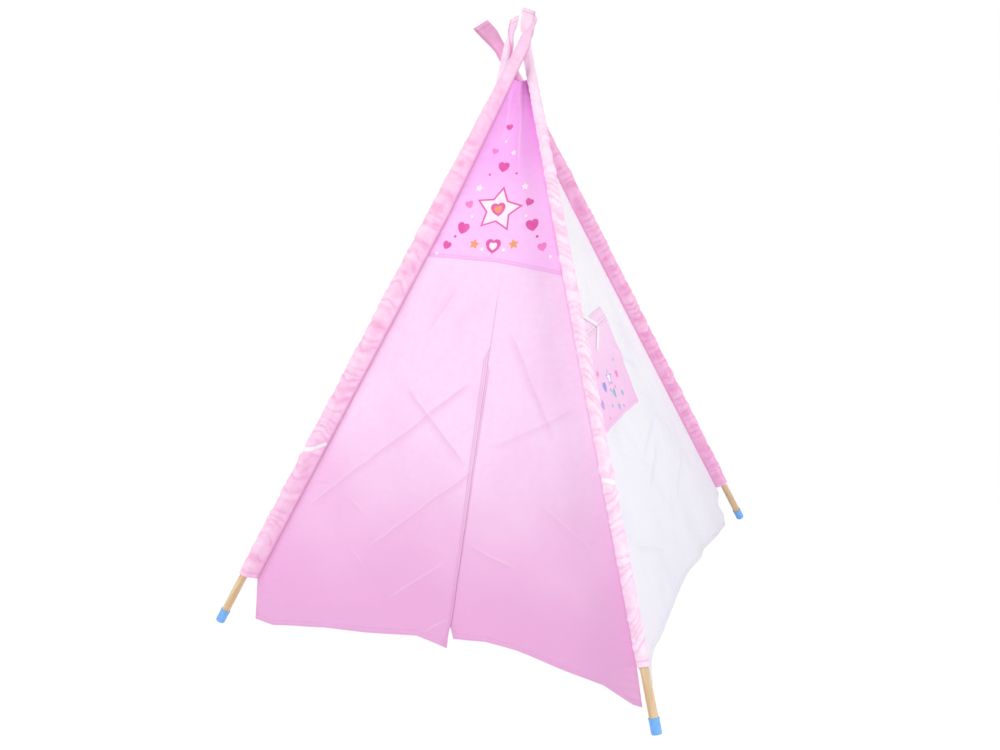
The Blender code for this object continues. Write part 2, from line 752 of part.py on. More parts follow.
def carry(parent, pieces):
    """Hangs pieces on an empty without moving them."""
    bpy.context.view_layer.update()
    for piece in pieces:
        placed = piece.matrix_world.copy()
        piece.parent = parent
        piece.matrix_parent_inverse = Matrix.Translation(-parent.location)
        piece.matrix_world = placed


def make_looks():
    """The materials, by the name of their slot."""
    return {
        "wood": material("pine wood", 232, 200, 158, 0.6),
        "blue": material("blue rubber", 112, 175, 240, 0.5),
        "grey": material("grey plastic", 200, 200, 205, 0.45),
        "sleeve": material("sleeve pink cloth", 253, 200, 236, 0.85),
        "print": material("upper pink cloth", 252, 182, 248, 0.85),
        "door": material("door pink cloth", 248, 205, 242, 0.85),
        "white": material("white cloth", 242, 240, 247, 0.85),
        "ribbon": material("white ribbon", 252, 248, 252, 0.6),
    }


def build_pole(pole, tied, cutter, looks):
    """A pole's pieces on an empty at its crossing, where it turns as the tent folds."""
    tie_distance = pole.seam_distance(TIE_HEIGHT) if tied else None
    pieces = [make_cap(pole, cutter, looks["blue"])]
    pieces += make_sections(pole, looks["wood"])
    pieces += make_ferrules(pole, looks["grey"])
    pieces.append(make_sleeve(pole, tie_distance, looks["sleeve"]))
    if tied:
        pieces.append(make_tie(pole, tie_distance, looks["ribbon"]))
    fold = empty(f"fold_axis_{pole.name}", pole.cross)
    carry(fold, pieces)
    return fold


def build_door(front, folds, look):
    sides = (
        DoorSide("left", front, 0, LEFT_SLIT_FOOT_SHARE, LEFT_FOLD_FOOT_SHARE, LEFT_FLAP_DROP),
        DoorSide("right", front, 1, RIGHT_SLIT_FOOT_SHARE, RIGHT_FOLD_FOOT_SHARE, 0),
    )
    for side in sides:
        side.make_sheet("panel", DOOR_PANEL_GRID, side.panel_point, look)
        flap = side.make_sheet("flap", FLAP_GRID, side.flap_point, look)
        hinge = empty(f"fold_axis_door_{side.name}", side.pivot())
        carry(hinge, [flap])
        carry(folds[side.side], [hinge])


def build_window(right, fold, looks):
    window_wall("right_wall", right, looks["white"])
    make_window_header(right, looks["door"])
    cover = make_window_cover(right, looks["door"])
    tie = make_window_tie(right, looks["ribbon"])
    hinge = empty("window_cover_axis", on_window_wall(right, COVER_FRONT, COVER_HIGH, 2 * CLOTH + TOUCH_GAP))
    carry(hinge, [cover, tie])
    carry(fold, [hinge])


def build():
    clear_scene()
    looks = make_looks()
    poles = make_poles()
    cutter = floor_cutter()
    folds = [build_pole(pole, index < TIED_POLES, cutter, looks) for index, pole in enumerate(poles)]

    front_left, front_right, back_right, back_left = poles
    front = Wall(front_left, front_right, FRONT_LEFT_TUCK, FRONT_RIGHT_TUCK, billow_low=BAND_HEIGHT)
    right = Wall(front_right, back_right, SIDE_TUCK, SIDE_TUCK, billow=0)
    back = Wall(back_right, back_left, SIDE_TUCK, SIDE_TUCK)
    left = Wall(back_left, front_left, SIDE_TUCK, SIDE_TUCK)
    plain_wall("front_upper_panel", front, UPPER_PANEL_COLUMNS, UPPER_PANEL_ROWS, BAND_HEIGHT, looks["print"])
    plain_wall("left_wall", left, PLAIN_WALL_COLUMNS, PLAIN_WALL_ROWS, None, looks["white"])
    plain_wall("back_wall", back, PLAIN_WALL_COLUMNS, PLAIN_WALL_ROWS, None, looks["door"])
    build_door(front, folds, looks["door"])
    build_window(right, folds[1], looks)


build()
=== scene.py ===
"""The looks of a kids' teepee: gathered pole sleeves, hanging cloth walls, a two-flap door, a printed upper
panel, ribbons, wooden poles and rubber foot caps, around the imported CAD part.

Metres, +Z up, the door faces -Y. The cloth is shaped by formula, with no simulation.
"""

import math

import bpy
import numpy as np
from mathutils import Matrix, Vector


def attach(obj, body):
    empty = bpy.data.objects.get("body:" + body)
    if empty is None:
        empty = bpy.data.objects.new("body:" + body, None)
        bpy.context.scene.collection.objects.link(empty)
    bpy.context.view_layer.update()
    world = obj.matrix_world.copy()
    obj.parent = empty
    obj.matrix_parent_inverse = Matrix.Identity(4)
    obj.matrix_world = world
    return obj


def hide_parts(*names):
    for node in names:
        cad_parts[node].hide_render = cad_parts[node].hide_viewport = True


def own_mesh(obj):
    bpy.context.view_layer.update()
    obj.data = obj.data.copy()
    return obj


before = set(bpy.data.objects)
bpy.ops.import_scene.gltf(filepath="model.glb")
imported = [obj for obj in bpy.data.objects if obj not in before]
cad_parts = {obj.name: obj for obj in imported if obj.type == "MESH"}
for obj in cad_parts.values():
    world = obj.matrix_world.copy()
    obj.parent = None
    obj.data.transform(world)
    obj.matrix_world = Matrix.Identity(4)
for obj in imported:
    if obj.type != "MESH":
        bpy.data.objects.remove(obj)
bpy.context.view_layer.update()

# Poles and their sleeves
BASE_HALF = 0.600
CROSS_HEIGHT = 1.462
CROSS_OFFSET = 0.045
BACK_LEFT_CROSS_OFFSET = 0.012
WOOD_TOP = 1.7092
SLEEVE_RADIUS = 0.0145
SLEEVE_WALL = 0.0009
DEEP_WALL = 0.0014
POLE_ROOM = 0.0108
SEAM_REACH = 0.0380
BACK_RIGHT_SEAM_REACH = 0.0280
SEAM_HALF = 0.0010
SEAM_CLEARANCE = 0.0004
OUTLINE_ARC = 30
OUTLINE_FLANK = 9
SEAM_INDEX = OUTLINE_ARC + OUTLINE_FLANK - 1
SLEEVE_START = 0.152
BACK_RIGHT_SLEEVE_START = 0.137
BACK_RIGHT_CASING_START = 0.163
NECK_RADIUS = 0.0125
NECK_SEAM_REACH = 0.0200
NECK_LENGTH = 0.450
ARC_DEGREES = 115.0
PLEAT_SPACING = 0.017
PLEAT_HEIGHT = 0.0062
PLEAT_FADE = 0.045
TIP_HALF_WIDTH = 0.0225
TIP_HALF_THICKNESS = 0.0022
TIP_FLATTENING = 0.055
TIP_LENGTH = 0.100
FRONT_RIGHT_TIP_LENGTH = 0.135
FRONT_RIGHT_TIP_SWAY = 0.028
BACK_RIGHT_TIP_DROOP = 0.022
TIP_LEAN_POWER = 1.15
TIP_LINING = 0.012
RING_SPACING = 0.0028

# Walls
CLOTH = 0.0012
HEM_THICKER = 0.0009
WALL_TOP = 1.400
CORNER_HEIGHT = 0.020
FRONT_LEFT_TUCK = 0.052
FRONT_RIGHT_TUCK = 0.006
SIDE_TUCK = 0.085
BAND_HEIGHT = 0.952
SLIT_TOP_X = 0.048
SLIT_FOOT_X = 0.056
SLIT_OPENS_AT = 0.120
SLIT_SPREAD = 0.024
FOLD_FOOT_SHARE = 0.055
FLAP_TOP_CUT = 0.003
HEM_WIDTH = 0.016
CELL = 0.0055
CREASE_WIDTH = 0.011
CREASE_DRIFT = 0.011

# Window
COVER_FRONT = -0.222
COVER_BACK = 0.093
COVER_LOW = 0.556
COVER_DROOP = 0.019
COVER_HIGH = 0.773
HEADER_FRONT = -0.200
HEADER_BACK = 0.091
HEADER_LEAN = 0.70
HEADER_HIGH = 0.808
HEADER_LIFT = 0.0020
WINDOW_FRONT = -0.196
WINDOW_BACK = 0.048
WINDOW_LOW = 0.585
WINDOW_HIGH = 0.755

# Ribbons
RIBBON = 0.0006
TIE_HEIGHT = 0.480
FRONT_LEFT_TIE_SLANT = (0.042, 0.0)
FRONT_RIGHT_TIE_SLANT = (0.006, -0.006)
TIE_WIDTH = 0.012
TAIL_WIDTH = 0.010
TAIL_LIFT = 0.0030
STITCH_LENGTH = 0.0034
THREAD = 0.0007
WEAVE_HEIGHT = 0.00006
# Their paths as (place along the right wall, height)
RIBBON_OVER_BAND = ((-0.125, 0.824), (-0.090, 0.810), (-0.012, 0.7755))
RIBBON_DOWN = ((-0.012, 0.7722), (-0.026, 0.762), (-0.060, 0.745), (-0.090, 0.727))
RIBBON_TAIL = ((-0.350, 0.470), (-0.349, 0.455), (-0.352, 0.425), (-0.356, 0.392))

# Light
ROOM_LIGHT = 0.64
KEY_POWER = 76.0
RIGHT_POWER = 42.0
BACK_POWER = 45.0
INSIDE_POWER = 2.0
WHITE = (1.0, 1.0, 1.0, 1.0)

# The door's slit: how its edges stand and lap, and where a narrow flap loses its stitches
SLIT_FOOT_HEIGHT = 0.07
SLIT_OPEN_FOOT = 0.065
SLIT_CLOSED = (0.004, -0.003)
LAP_SHARE = 0.05
LAP_RISE = 0.10
LAP_HEIGHT = 0.0012
STITCHED_FROM = 0.070
STITCHED_RANGE = 0.040
STITCHES_AWAY = 0.05

# Two heights that give each seam's line
FOLD_LINE_LOW = 0.3
FOLD_LINE_HIGH = 1.2
COVER_FRONT_LEAN = 0.20

# Camera, fitted to the photograph: place, turn in degrees and focal length
CAMERA_PLACE = (0.9408, -2.3338, 1.3659)
CAMERA_TURN = (90 - 16.904, -0.108, 22.617)
CAMERA_LENS = 33.27

# Hem heights along each wall, as (place along the wall, height)
FRONT_HEM = (
    (-0.560, 0.022), (-0.501, 0.014), (-0.449, 0.009), (-0.380, 0.021), (-0.290, 0.035), (-0.168, 0.046),
    (-0.030, 0.066), (0.056, 0.055), (0.068, 0.079), (0.154, 0.089), (0.238, 0.084), (0.331, 0.072),
    (0.456, 0.056), (0.531, 0.032), (0.575, 0.030),
)
RIGHT_HEM = (
    (-0.500, 0.022), (-0.475, 0.036), (-0.440, 0.068), (-0.390, 0.084), (-0.300, 0.089), (-0.119, 0.088),
    (0.117, 0.070), (0.301, 0.051), (0.485, 0.020),
)
# The notch under the right wall's back corner: share of the way up to the casing, how far it goes in
BACK_NOTCH = ((0.0, 0.0), (0.20, -0.008), (0.32, -0.010), (0.55, 0.012), (0.75, 0.036), (0.92, 0.028), (1.0, 0.0))
PLAIN_HEM = (
    (-0.500, 0.022), (-0.400, 0.044), (-0.250, 0.068), (0.000, 0.082), (0.250, 0.068), (0.400, 0.044),
    (0.500, 0.022),
)

UP = np.array((0.0, 0.0, 1.0))


def eased(value):
    held = np.clip(value, 0, 1)
    return held * held * (3 - 2 * held)


def unit(vectors):
    return vectors / np.linalg.norm(vectors, axis=-1, keepdims=True)


def lerp(start, end, share):
    return start + (end - start) * np.asarray(share)[..., None]


class Noise:
    """Smooth random heights between -1 and 1 over a plane."""

    def __init__(self, seed):
        self.values = np.random.RandomState(seed).uniform(-1, 1, (64, 64))

    def __call__(self, x, y):
        column, row = np.floor(x).astype(int), np.floor(y).astype(int)
        right, up = eased(x - column), eased(y - row)
        value = self.values
        low = value[column % 64, row % 64] * (1 - right) + value[(column + 1) % 64, row % 64] * right
        high = value[column % 64, (row + 1) % 64] * (1 - right) + value[(column + 1) % 64, (row + 1) % 64] * right
        return low * (1 - up) + high * up


class Pole:
    """The line of a pole, and the sleeve's shape along it. Distances run from the floor and may be arrays."""

    def __init__(
        self, name, side_x, side_y, seed, offset=CROSS_OFFSET, start=SLEEVE_START, casing_start=SLEEVE_START,
        seam_reach=SEAM_REACH, painted_shade_share=0.0, tip_length=TIP_LENGTH, tip_droop=0.0, tip_sway=0.0, tip_turn=0,
        tie_slant=None,
    ):
        self.name = name
        self.start = start
        self.casing_start = casing_start
        self.seam_reach = seam_reach
        # How far this casing's colours go towards its darker painted shade
        self.painted_shade_share = painted_shade_share
        self.tip_droop = tip_droop
        self.tip_sway = tip_sway
        self.tip_turn = math.radians(tip_turn)
        self.noise = Noise(seed)
        self.foot = np.array((side_x * BASE_HALF, side_y * BASE_HALF, 0.0))
        reach = math.hypot(self.foot[0], self.foot[1])
        turn = -math.asin(offset / reach)
        back = -self.foot / reach
        inward = np.array(
            (
                back[0] * math.cos(turn) - back[1] * math.sin(turn),
                back[0] * math.sin(turn) + back[1] * math.cos(turn),
                0.0,
            )
        )
        self.cross = self.foot + inward * math.sqrt(reach**2 - offset**2) + UP * CROSS_HEIGHT
        self.length = float(np.linalg.norm(self.cross - self.foot))
        self.along = unit(self.cross - self.foot)
        self.across = np.array((inward[1], -inward[0], 0.0))
        self.into = np.cross(self.along, self.across)
        self.tip = self.length + tip_length
        self.tie = float(self.seam_distance(TIE_HEIGHT)) if tie_slant else None
        self.tie_slant = tie_slant or (0.0, 0.0)

    def at(self, distance):
        return self.foot + self.along * np.asarray(distance, float)[..., None]

    def narrowing(self, distance):
        return np.clip((distance - self.length) / NECK_LENGTH + 1, 0, 1)

    def radius(self, distance):
        return SLEEVE_RADIUS + (NECK_RADIUS - SLEEVE_RADIUS) * self.narrowing(distance)

    def reach(self, distance):
        return self.seam_reach + (NECK_SEAM_REACH - self.seam_reach) * self.narrowing(distance)

    def seam_point(self, distance):
        return self.at(distance) + self.into * self.reach(distance)[..., None]

    def seam_distance(self, height):
        distance = np.asarray(height, float) / self.along[2]
        for _ in range(6):
            distance = distance + (height - self.seam_point(distance)[..., 2]) / self.along[2]
        return distance

    def seam_at(self, height):
        return self.seam_point(self.seam_distance(height))

    def tie_shift(self, section):
        """How far along the pole the ribbon has slipped at each (into, across) point of the casing."""
        sag, lean = self.tie_slant
        wide = self.seam_reach + SLEEVE_RADIUS
        return lean * section[:, 1] / SLEEVE_RADIUS - sag * (self.seam_reach - section[:, 0]) / wide


class Wall:
    """The cloth between two neighbouring poles, left and right as seen from outside."""

    def __init__(self, left, right, left_tuck, right_tuck, axis, sign, hem, relief, notch=None):
        self.poles = (left, right)
        self.notch = notch
        self.tucks = (left_tuck, right_tuck)
        self.axis = axis
        self.sign = sign
        self.hem = np.array(hem)
        self.relief = relief
        low = [self.extended_seam(pole, CORNER_HEIGHT) for pole in self.poles]
        high = (left.seam_at(WALL_TOP) + right.seam_at(WALL_TOP)) / 2
        self.normal = unit(np.cross(low[1] - low[0], high - low[0]))

    def extended_seam(self, pole, height):
        start = pole.seam_point(np.float64(pole.start))
        return start - pole.along * ((start[2] - height) / pole.along[2])

    def edge(self, side, height):
        pole = self.poles[side]
        height = np.asarray(height, float)
        sleeve_end = pole.seam_point(np.float64(pole.start))
        low = [self.extended_seam(end, CORNER_HEIGHT) for end in self.poles]
        inward = unit(low[1] - low[0]) * (1, -1)[side]
        corner = low[side] + inward * self.tucks[side]
        share = (height - CORNER_HEIGHT) / (sleeve_end[2] - CORNER_HEIGHT)
        below = lerp(corner, sleeve_end, share)
        if self.notch is not None and side == 1:
            places, depths = np.array(self.notch).T
            below = below + inward * np.interp(share, places, depths)[..., None]
        return np.where((height >= sleeve_end[2])[..., None], pole.seam_at(height), below)

    def chord(self, share, height):
        """The flat wall, its edges set just inside the seams."""
        left, right = self.edge(0, height), self.edge(1, height)
        direction = unit(right - left)
        inset = CLOTH * 0.4
        return lerp(left + direction * inset, right - direction * inset, share)

    def place(self, point):
        """How far along the wall a point is, growing to the right as seen from outside."""
        return point[..., self.axis] * self.sign

    def share_at(self, place, height):
        left = self.place(self.chord(np.zeros_like(height), height))
        right = self.place(self.chord(np.ones_like(height), height))
        return (place - left) / (right - left)

    def hem_height(self, share):
        """The height of the hem at this share of the wall's width."""
        height = np.full_like(share, 0.06)
        for _ in range(4):
            place = self.place(self.chord(share, height))
            height = np.interp(place, self.hem[:, 0], self.hem[:, 1])
        return height

    def surface(self, share, height):
        flat = self.chord(share, height)
        return flat + self.normal * self.relief(self, share, flat)[..., None]


def crease(x, t, start, end, height, width):
    """A sharp straight fold line that dies away past its two ends."""
    start, end = np.array(start), np.array(end)
    run = end - start
    length = math.hypot(*run)
    run = run / length
    along = (x - start[0]) * run[0] + (t - start[1]) * run[1]
    off = np.abs((x - start[0]) * run[1] - (t - start[1]) * run[0])
    ends = eased(along / 0.06 + 0.5) * eased((length - along) / 0.06 + 0.5)
    return height * np.exp(-off / width) * ends


def wall_relief(seed, billow, creases, gathers, low_folds):
    """The soft shape of a hanging wall: billow, broad waves, gathers at the casings, storage creases, hem folds."""
    broad, middle, fine = Noise(seed), Noise(seed + 1), Noise(seed + 2)

    def relief(wall, share, flat):
        x = wall.place(flat)
        t = flat[..., 2]
        span = np.sin(np.pi * share)
        rise = (t - CORNER_HEIGHT) / (WALL_TOP - CORNER_HEIGHT)
        held = eased(span * 2.2)
        shape = billow * span * np.sin(np.pi * np.clip(rise, 0, 1))
        shape += held * 0.0035 * broad(x * 4 + 3, t * 3.1 + 7)
        shape += held * 0.0016 * middle(x * 9 + t * 4, t * 7 - x * 5)
        ridge = 1 - np.abs(middle(x * 5.5 - t * 3.5 + 9, t * 6 + x * 4 + 2)) * 2
        shape += held * 0.0012 * np.clip(ridge, 0, 1) ** 3
        shape += held * 0.0005 * fine(x * 34, t * 30)
        width = np.abs(wall.place(wall.edge(1, t)) - wall.place(wall.edge(0, t)))
        for from_seam, phase in ((share * width, 0.0), ((1 - share) * width, 2.0)):
            pleat = np.sin(2 * np.pi * t / PLEAT_SPACING + 3 * fine(t * 11 + phase * 9, t * 0) + phase)
            shape += gathers * np.exp(-from_seam / 0.040) * pleat * eased(from_seam / 0.006)
        bunched = np.clip((t - 1.15) / 0.25, 0, 1) ** 2 * held
        shape += 0.0022 * bunched * np.sin(2 * np.pi * share * 2.5 + 1.5 * middle(t * 9, t * 0 + 4))
        depth = np.clip((0.45 - t) / 0.42, 0, 1) ** 2
        shape += low_folds * held * depth * np.sin(2 * np.pi * x / 0.31 + 2 * broad(x * 3 + 20, t + 3))
        for start, end, height in creases:
            shape += held * crease(x, t, start, end, height * 1.6, CREASE_WIDTH)
        return shape

    return relief


def grid_normals(points):
    right = np.gradient(points, axis=1)
    up = np.gradient(points, axis=0)
    return unit(np.cross(right, up))


def placed(name, data):
    """A new object in the scene for this mesh, lamp or camera."""
    made = bpy.data.objects.new(name, data)
    bpy.context.scene.collection.objects.link(made)
    return made


def new_mesh(name, points, quads, uv, marks, look, smooth_degrees=50):
    mesh = bpy.data.meshes.new(name)
    mesh.vertices.add(len(points))
    mesh.vertices.foreach_set("co", np.asarray(points, np.float32).ravel())
    mesh.loops.add(quads.size)
    mesh.loops.foreach_set("vertex_index", quads.astype(np.int32).ravel())
    mesh.polygons.add(len(quads))
    mesh.polygons.foreach_set("loop_start", np.arange(0, quads.size, 4, dtype=np.int32))
    mesh.update(calc_edges=True)
    layer = mesh.uv_layers.new(name="cloth")
    layer.data.foreach_set("uv", uv[quads.ravel()].astype(np.float32).ravel())
    for key, values in marks.items():
        attribute = mesh.attributes.new(key, "FLOAT", "POINT")
        attribute.data.foreach_set("value", values.astype(np.float32))
    mesh.validate()
    mesh.shade_smooth()
    mesh.set_sharp_from_angle(angle=math.radians(smooth_degrees))
    mesh.materials.append(look)
    return placed(name, mesh)


def cloth_body(name, points, uv, marks, look, thickness, keep_cell=None):
    """A closed cloth of this thickness on a grid of middle points, rows going up and columns to the right."""
    rows, columns = points.shape[:2]
    normals = grid_normals(points)
    half = np.broadcast_to(np.asarray(thickness) / 2, (rows, columns))[..., None]
    outer, inner = points + normals * half, points - normals * half
    index = np.arange(rows * columns).reshape(rows, columns)
    front = np.stack((index[:-1, :-1], index[:-1, 1:], index[1:, 1:], index[1:, :-1]), axis=-1)
    keep = np.ones((rows - 1, columns - 1), bool) if keep_cell is None else keep_cell
    count = rows * columns
    faces = [front[keep], front[keep][:, ::-1] + count]
    padded = np.pad(keep, 1)
    middle = padded[1:-1, 1:-1]
    borders = (
        (padded[:-2, 1:-1], index[:-1, :-1], index[:-1, 1:]),
        (padded[2:, 1:-1], index[1:, 1:], index[1:, :-1]),
        (padded[1:-1, :-2], index[1:, :-1], index[:-1, :-1]),
        (padded[1:-1, 2:], index[:-1, 1:], index[1:, 1:]),
    )
    for neighbour, start, end in borders:
        edge = middle & ~neighbour
        first, second = start[edge], end[edge]
        faces.append(np.stack((second, first, first + count, second + count), axis=-1))
    quads = np.concatenate(faces)
    everything = np.concatenate((outer.reshape(-1, 3), inner.reshape(-1, 3)))
    used, renumbered = np.unique(quads, return_inverse=True)
    both = {key: np.tile(values.ravel(), 2)[used] for key, values in marks.items()}
    flat_uv = np.tile(uv.reshape(-1, 2), (2, 1))[used]
    return new_mesh(name, everything[used], renumbered.reshape(quads.shape), flat_uv, both, look)


def wall_grid(left_share, right_share, low, high, columns, rows):
    """Shares and heights of a grid: the four limits are numbers or functions of height or share."""
    column = np.linspace(0, 1, columns + 1)[None, :]
    row = np.linspace(0, 1, rows + 1)[:, None]
    share = np.broadcast_to(column, (rows + 1, columns + 1)).copy()
    height = np.zeros_like(share)
    for _ in range(5):
        bottom = low(share) if callable(low) else low
        top = high(share) if callable(high) else high
        height = bottom + (top - bottom) * row
        left = left_share(height) if callable(left_share) else left_share
        right = right_share(height) if callable(right_share) else right_share
        share = left + (right - left) * column
    return share, height


def wall_sheet(name, wall, left, right, low, high, look, hem_marks=True, lift=None, keep=None, fineness=1.0):
    """One sheet of a wall between two share limits and two height limits."""
    probe, probe_height = wall_grid(left, right, low, high, 2, 2)
    corners = wall.chord(probe, probe_height)
    columns = max(int(np.linalg.norm(corners[0, -1] - corners[0, 0]) / CELL * fineness), 8)
    rows = max(int(np.linalg.norm(corners[-1, 0] - corners[0, 0]) / CELL * fineness), 8)
    share, height = wall_grid(left, right, low, high, columns, rows)
    points = wall.surface(share, height)
    if lift is not None:
        points = points + wall.normal * lift(share, height, points)[..., None]
    steps = np.linalg.norm(np.diff(points, axis=0), axis=-1)
    from_hem = np.concatenate((np.zeros((1, columns + 1)), np.cumsum(steps, axis=0)))
    from_top = from_hem[-1:] - from_hem
    across = np.linalg.norm(np.diff(points, axis=1), axis=-1)
    from_left = np.concatenate((np.zeros((rows + 1, 1)), np.cumsum(across, axis=1)), axis=1)
    from_right = from_left[:, -1:] - from_left
    uv = np.stack((wall.place(points), points[..., 2] / np.linalg.norm(wall.normal[:2])), axis=-1)
    thickness = np.full(share.shape, CLOTH)
    if hem_marks:
        thickness = thickness + HEM_THICKER * (from_hem < HEM_WIDTH)
    wide = np.linalg.norm(wall.edge(1, height) - wall.edge(0, height), axis=-1)
    marks = {
        "from_hem": from_hem,
        "from_top": from_top,
        "from_left": from_left,
        "from_right": from_right,
        "from_casing": np.minimum(share, 1 - share) * wide,
    }
    return cloth_body(name, points, uv, marks, look, thickness, None if keep is None else keep(share, height))


def outline(radius, reach, half):
    """The casing's outline as (into, across) pairs: round the pole, then along both flanks to the seam."""
    span = math.radians(ARC_DEGREES)
    angles = np.linspace(-span, span, OUTLINE_ARC)
    arc = np.stack((-radius * np.cos(angles), radius * np.sin(angles)), axis=-1)
    shares = np.linspace(0, 1, OUTLINE_FLANK + 1)[1:]
    out = arc[-1] + (np.array((reach, half)) - arc[-1]) * shares[:, None]
    back = np.array((reach, -half)) + (arc[0] - np.array((reach, -half))) * shares[:-1, None]
    start = np.array(((reach, -half),))
    return np.concatenate((arc, out, start, back))


def pressed(section, flatness, half_width, half_thickness):
    """The outline pressed flat, wholly where flatness is 1."""
    low, high = section[:, 0].min(), section[:, 0].max()
    middle = (low + high) / 2
    stretch = 1 + flatness * (2 * half_width / (high - low) - 1)
    squeeze = 1 + flatness * (half_thickness / section[:, 1].max() - 1)
    into = middle * (1 - flatness) + (section[:, 0] - middle) * stretch
    return np.stack((into, section[:, 1] * squeeze), axis=-1)


def pleat_shape(pole, distance, around):
    """The gathers: broad folds and small ones between them, running crosswise at changing slants."""
    slant = 1.3 * pole.noise(distance * 7, 3.0)
    warp = 0.6 * pole.noise(distance * 18 + 9, around * 0.9)
    broad = pole.noise(distance / PLEAT_SPACING + slant * around + warp, around * 0.32 + 7)
    small = pole.noise(distance / (PLEAT_SPACING * 0.45) - 1.5 * slant * around, around * 0.8 + 2)
    return np.abs(broad), np.abs(small)


def pleat_puff(pole, distance, around, free, tie_shift):
    """How far the gathered casing swells, and its tone: from 1, a painted highlight on a crest, to -1, painted shade in
    a valley.
    """
    broad, small = pleat_shape(pole, distance, around)
    shape = 0.80 * broad**0.6 + 0.30 * small**0.7
    fade = eased((distance - pole.casing_start) / PLEAT_FADE)
    fade = fade * (0.35 + 0.65 * eased((pole.length - distance) / NECK_LENGTH))
    fade = fade * (1 - eased((distance - pole.length + 0.02) / 0.05))
    pinch = 0.0
    if pole.tie is not None:
        near = np.abs(distance - pole.tie - tie_shift) - TIE_WIDTH / 2
        fade = fade * eased(near / 0.010)
        pinch = -0.0006 * (1 - eased(near / 0.016)) + 0.0022 * np.exp(-(((near - 0.020) / 0.011) ** 2))
    crumple = 0.0004 * pole.noise(distance * 95 + around * 3, around * 4 + 20)
    # The tone paints shade into the pleats' valleys and a highlight onto their crests
    valley = fade * (np.exp(-((broad / 0.16) ** 2)) + 0.15 * np.exp(-((small / 0.15) ** 2)))
    crest = fade * np.clip((shape - 0.55) / 0.30, 0, 1)
    puff = free * (PLEAT_HEIGHT * fade * (shape - 0.36) + crumple * fade + pinch)
    tone = (crest - valley) * eased(free * 1.6)
    return np.maximum(puff, SEAM_CLEARANCE - sleeve_depth(pole, distance)), tone


def sleeve_depth(pole, distance):
    """How far the casing's inner face lies under its outer one: deep under the gathers, thin at both ends."""
    deep = min(DEEP_WALL, float(pole.radius(distance)) - POLE_ROOM)
    open_end = eased((distance - pole.casing_start) / 0.03)
    tip = 1 - eased((distance - pole.length) / 0.04)
    return SLEEVE_WALL + (deep - SLEEVE_WALL) * float(open_end * tip)


def sleeve_ring(pole, distance, section):
    """The outline's points round the pole at a distance, swaying, drooping and turned past the wood's end."""
    lean = max((distance - WOOD_TOP) / (pole.tip - WOOD_TOP), 0) ** TIP_LEAN_POWER
    centre = pole.at(distance) + pole.into * (pole.tip_droop * lean) + pole.across * (pole.tip_sway * lean)
    turn = pole.tip_turn * eased((distance - WOOD_TOP) / TIP_FLATTENING)
    wide = pole.into * math.cos(turn) + pole.across * math.sin(turn)
    narrow = pole.across * math.cos(turn) - pole.into * math.sin(turn)
    return centre + section[:, :1] * wide + section[:, 1:] * narrow


def sleeve_outline(pole, distance, inset=0.0, plain=False):
    """The casing's outline at a distance, gathered into pleats unless plain, and its tone at each point: painted
    highlight on crests, painted shade in valleys.
    """
    radius, reach = float(pole.radius(distance)), float(pole.reach(distance))
    section = outline(radius - inset, reach - 2 * inset, SEAM_HALF * (0.5 if inset else 1))
    tone = np.zeros(len(section))
    if not plain:
        ahead = np.roll(section, -1, axis=0) - np.roll(section, 1, axis=0)
        outward = unit(np.stack((-ahead[:, 1], ahead[:, 0]), axis=-1))
        around = section[:, 1] / radius - 0.6 * section[:, 0] / reach
        free = eased((reach - section[:, 0]) / (reach * 0.65))
        puff, tone = pleat_puff(pole, distance, around, free, pole.tie_shift(section))
        section = section + outward * puff[:, None]
    flatness = float(eased((distance - WOOD_TOP) / TIP_FLATTENING))
    return pressed(section, flatness, TIP_HALF_WIDTH - 2 * inset, TIP_HALF_THICKNESS - inset), tone


def make_sleeve(pole, look):
    """The gathered casing: a closed cloth tube, open where the pole goes in."""
    low = pole.casing_start
    outer_steps = np.linspace(low, pole.tip, int((pole.tip - low) / RING_SPACING))
    inner_steps = np.linspace(low, pole.tip - TIP_LINING, 80)[::-1]
    rings, tones = [], []
    for steps, inner in ((inner_steps, True), (outer_steps, False)):
        for distance in steps:
            inset = sleeve_depth(pole, distance) if inner else 0.0
            section, tone = sleeve_outline(pole, distance, inset, inner)
            rings.append(sleeve_ring(pole, distance, section))
            tones.append(tone)
    rings = np.array(rings)
    count = rings.shape[1]
    index = np.arange(rings.shape[0] * count).reshape(rings.shape[0], count)
    following = np.roll(index, -1, axis=1)
    quads = np.stack((index[:-1], following[:-1], following[1:], index[1:]), axis=-1).reshape(-1, 4)
    first, last = index[0], index[-1]
    half = count // 2
    caps = []
    for loop, turned in ((first, True), (last, False)):
        for step in range(half - 1):
            quad = (loop[step], loop[step + 1], loop[count - 2 - step], loop[count - 1 - step])
            caps.append(quad[::-1] if turned else quad)
    quads = np.concatenate((quads, np.array(caps)))
    distances = np.concatenate((inner_steps, outer_steps))
    girth = np.linalg.norm(np.diff(rings, axis=1, append=rings[:, :1]), axis=-1)
    around = np.concatenate((np.zeros((len(rings), 1)), np.cumsum(girth, axis=1)[:, :-1]), axis=1)
    seam_place = around[:, SEAM_INDEX : SEAM_INDEX + 1]
    uv = np.stack((around, np.broadcast_to(distances[:, None], around.shape)), axis=-1)
    marks = {
        "from_seam": np.abs(around - seam_place).ravel(),
        "from_hem": np.broadcast_to(distances[:, None] - low, around.shape).ravel(),
        "from_top": np.broadcast_to(pole.tip - distances[:, None], around.shape).ravel(),
        # tone: painted highlight on the pleats' crests and painted shade in their valleys
        "tone": np.array(tones).ravel(),
        # depth: how far this casing's colours go towards its darker painted shade
        "depth": np.full(around.size, pole.painted_shade_share),
    }
    made = new_mesh(f"sleeve_cloth_{pole.name}", rings.reshape(-1, 3), quads, uv.reshape(-1, 2), marks, look, 55)
    flat = (float(girth[len(inner_steps) + 40].sum()), float(pole.tip - low))
    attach(made, f"pole_{pole.name}")
    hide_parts(f"sleeve_{pole.name}")
    return made, flat


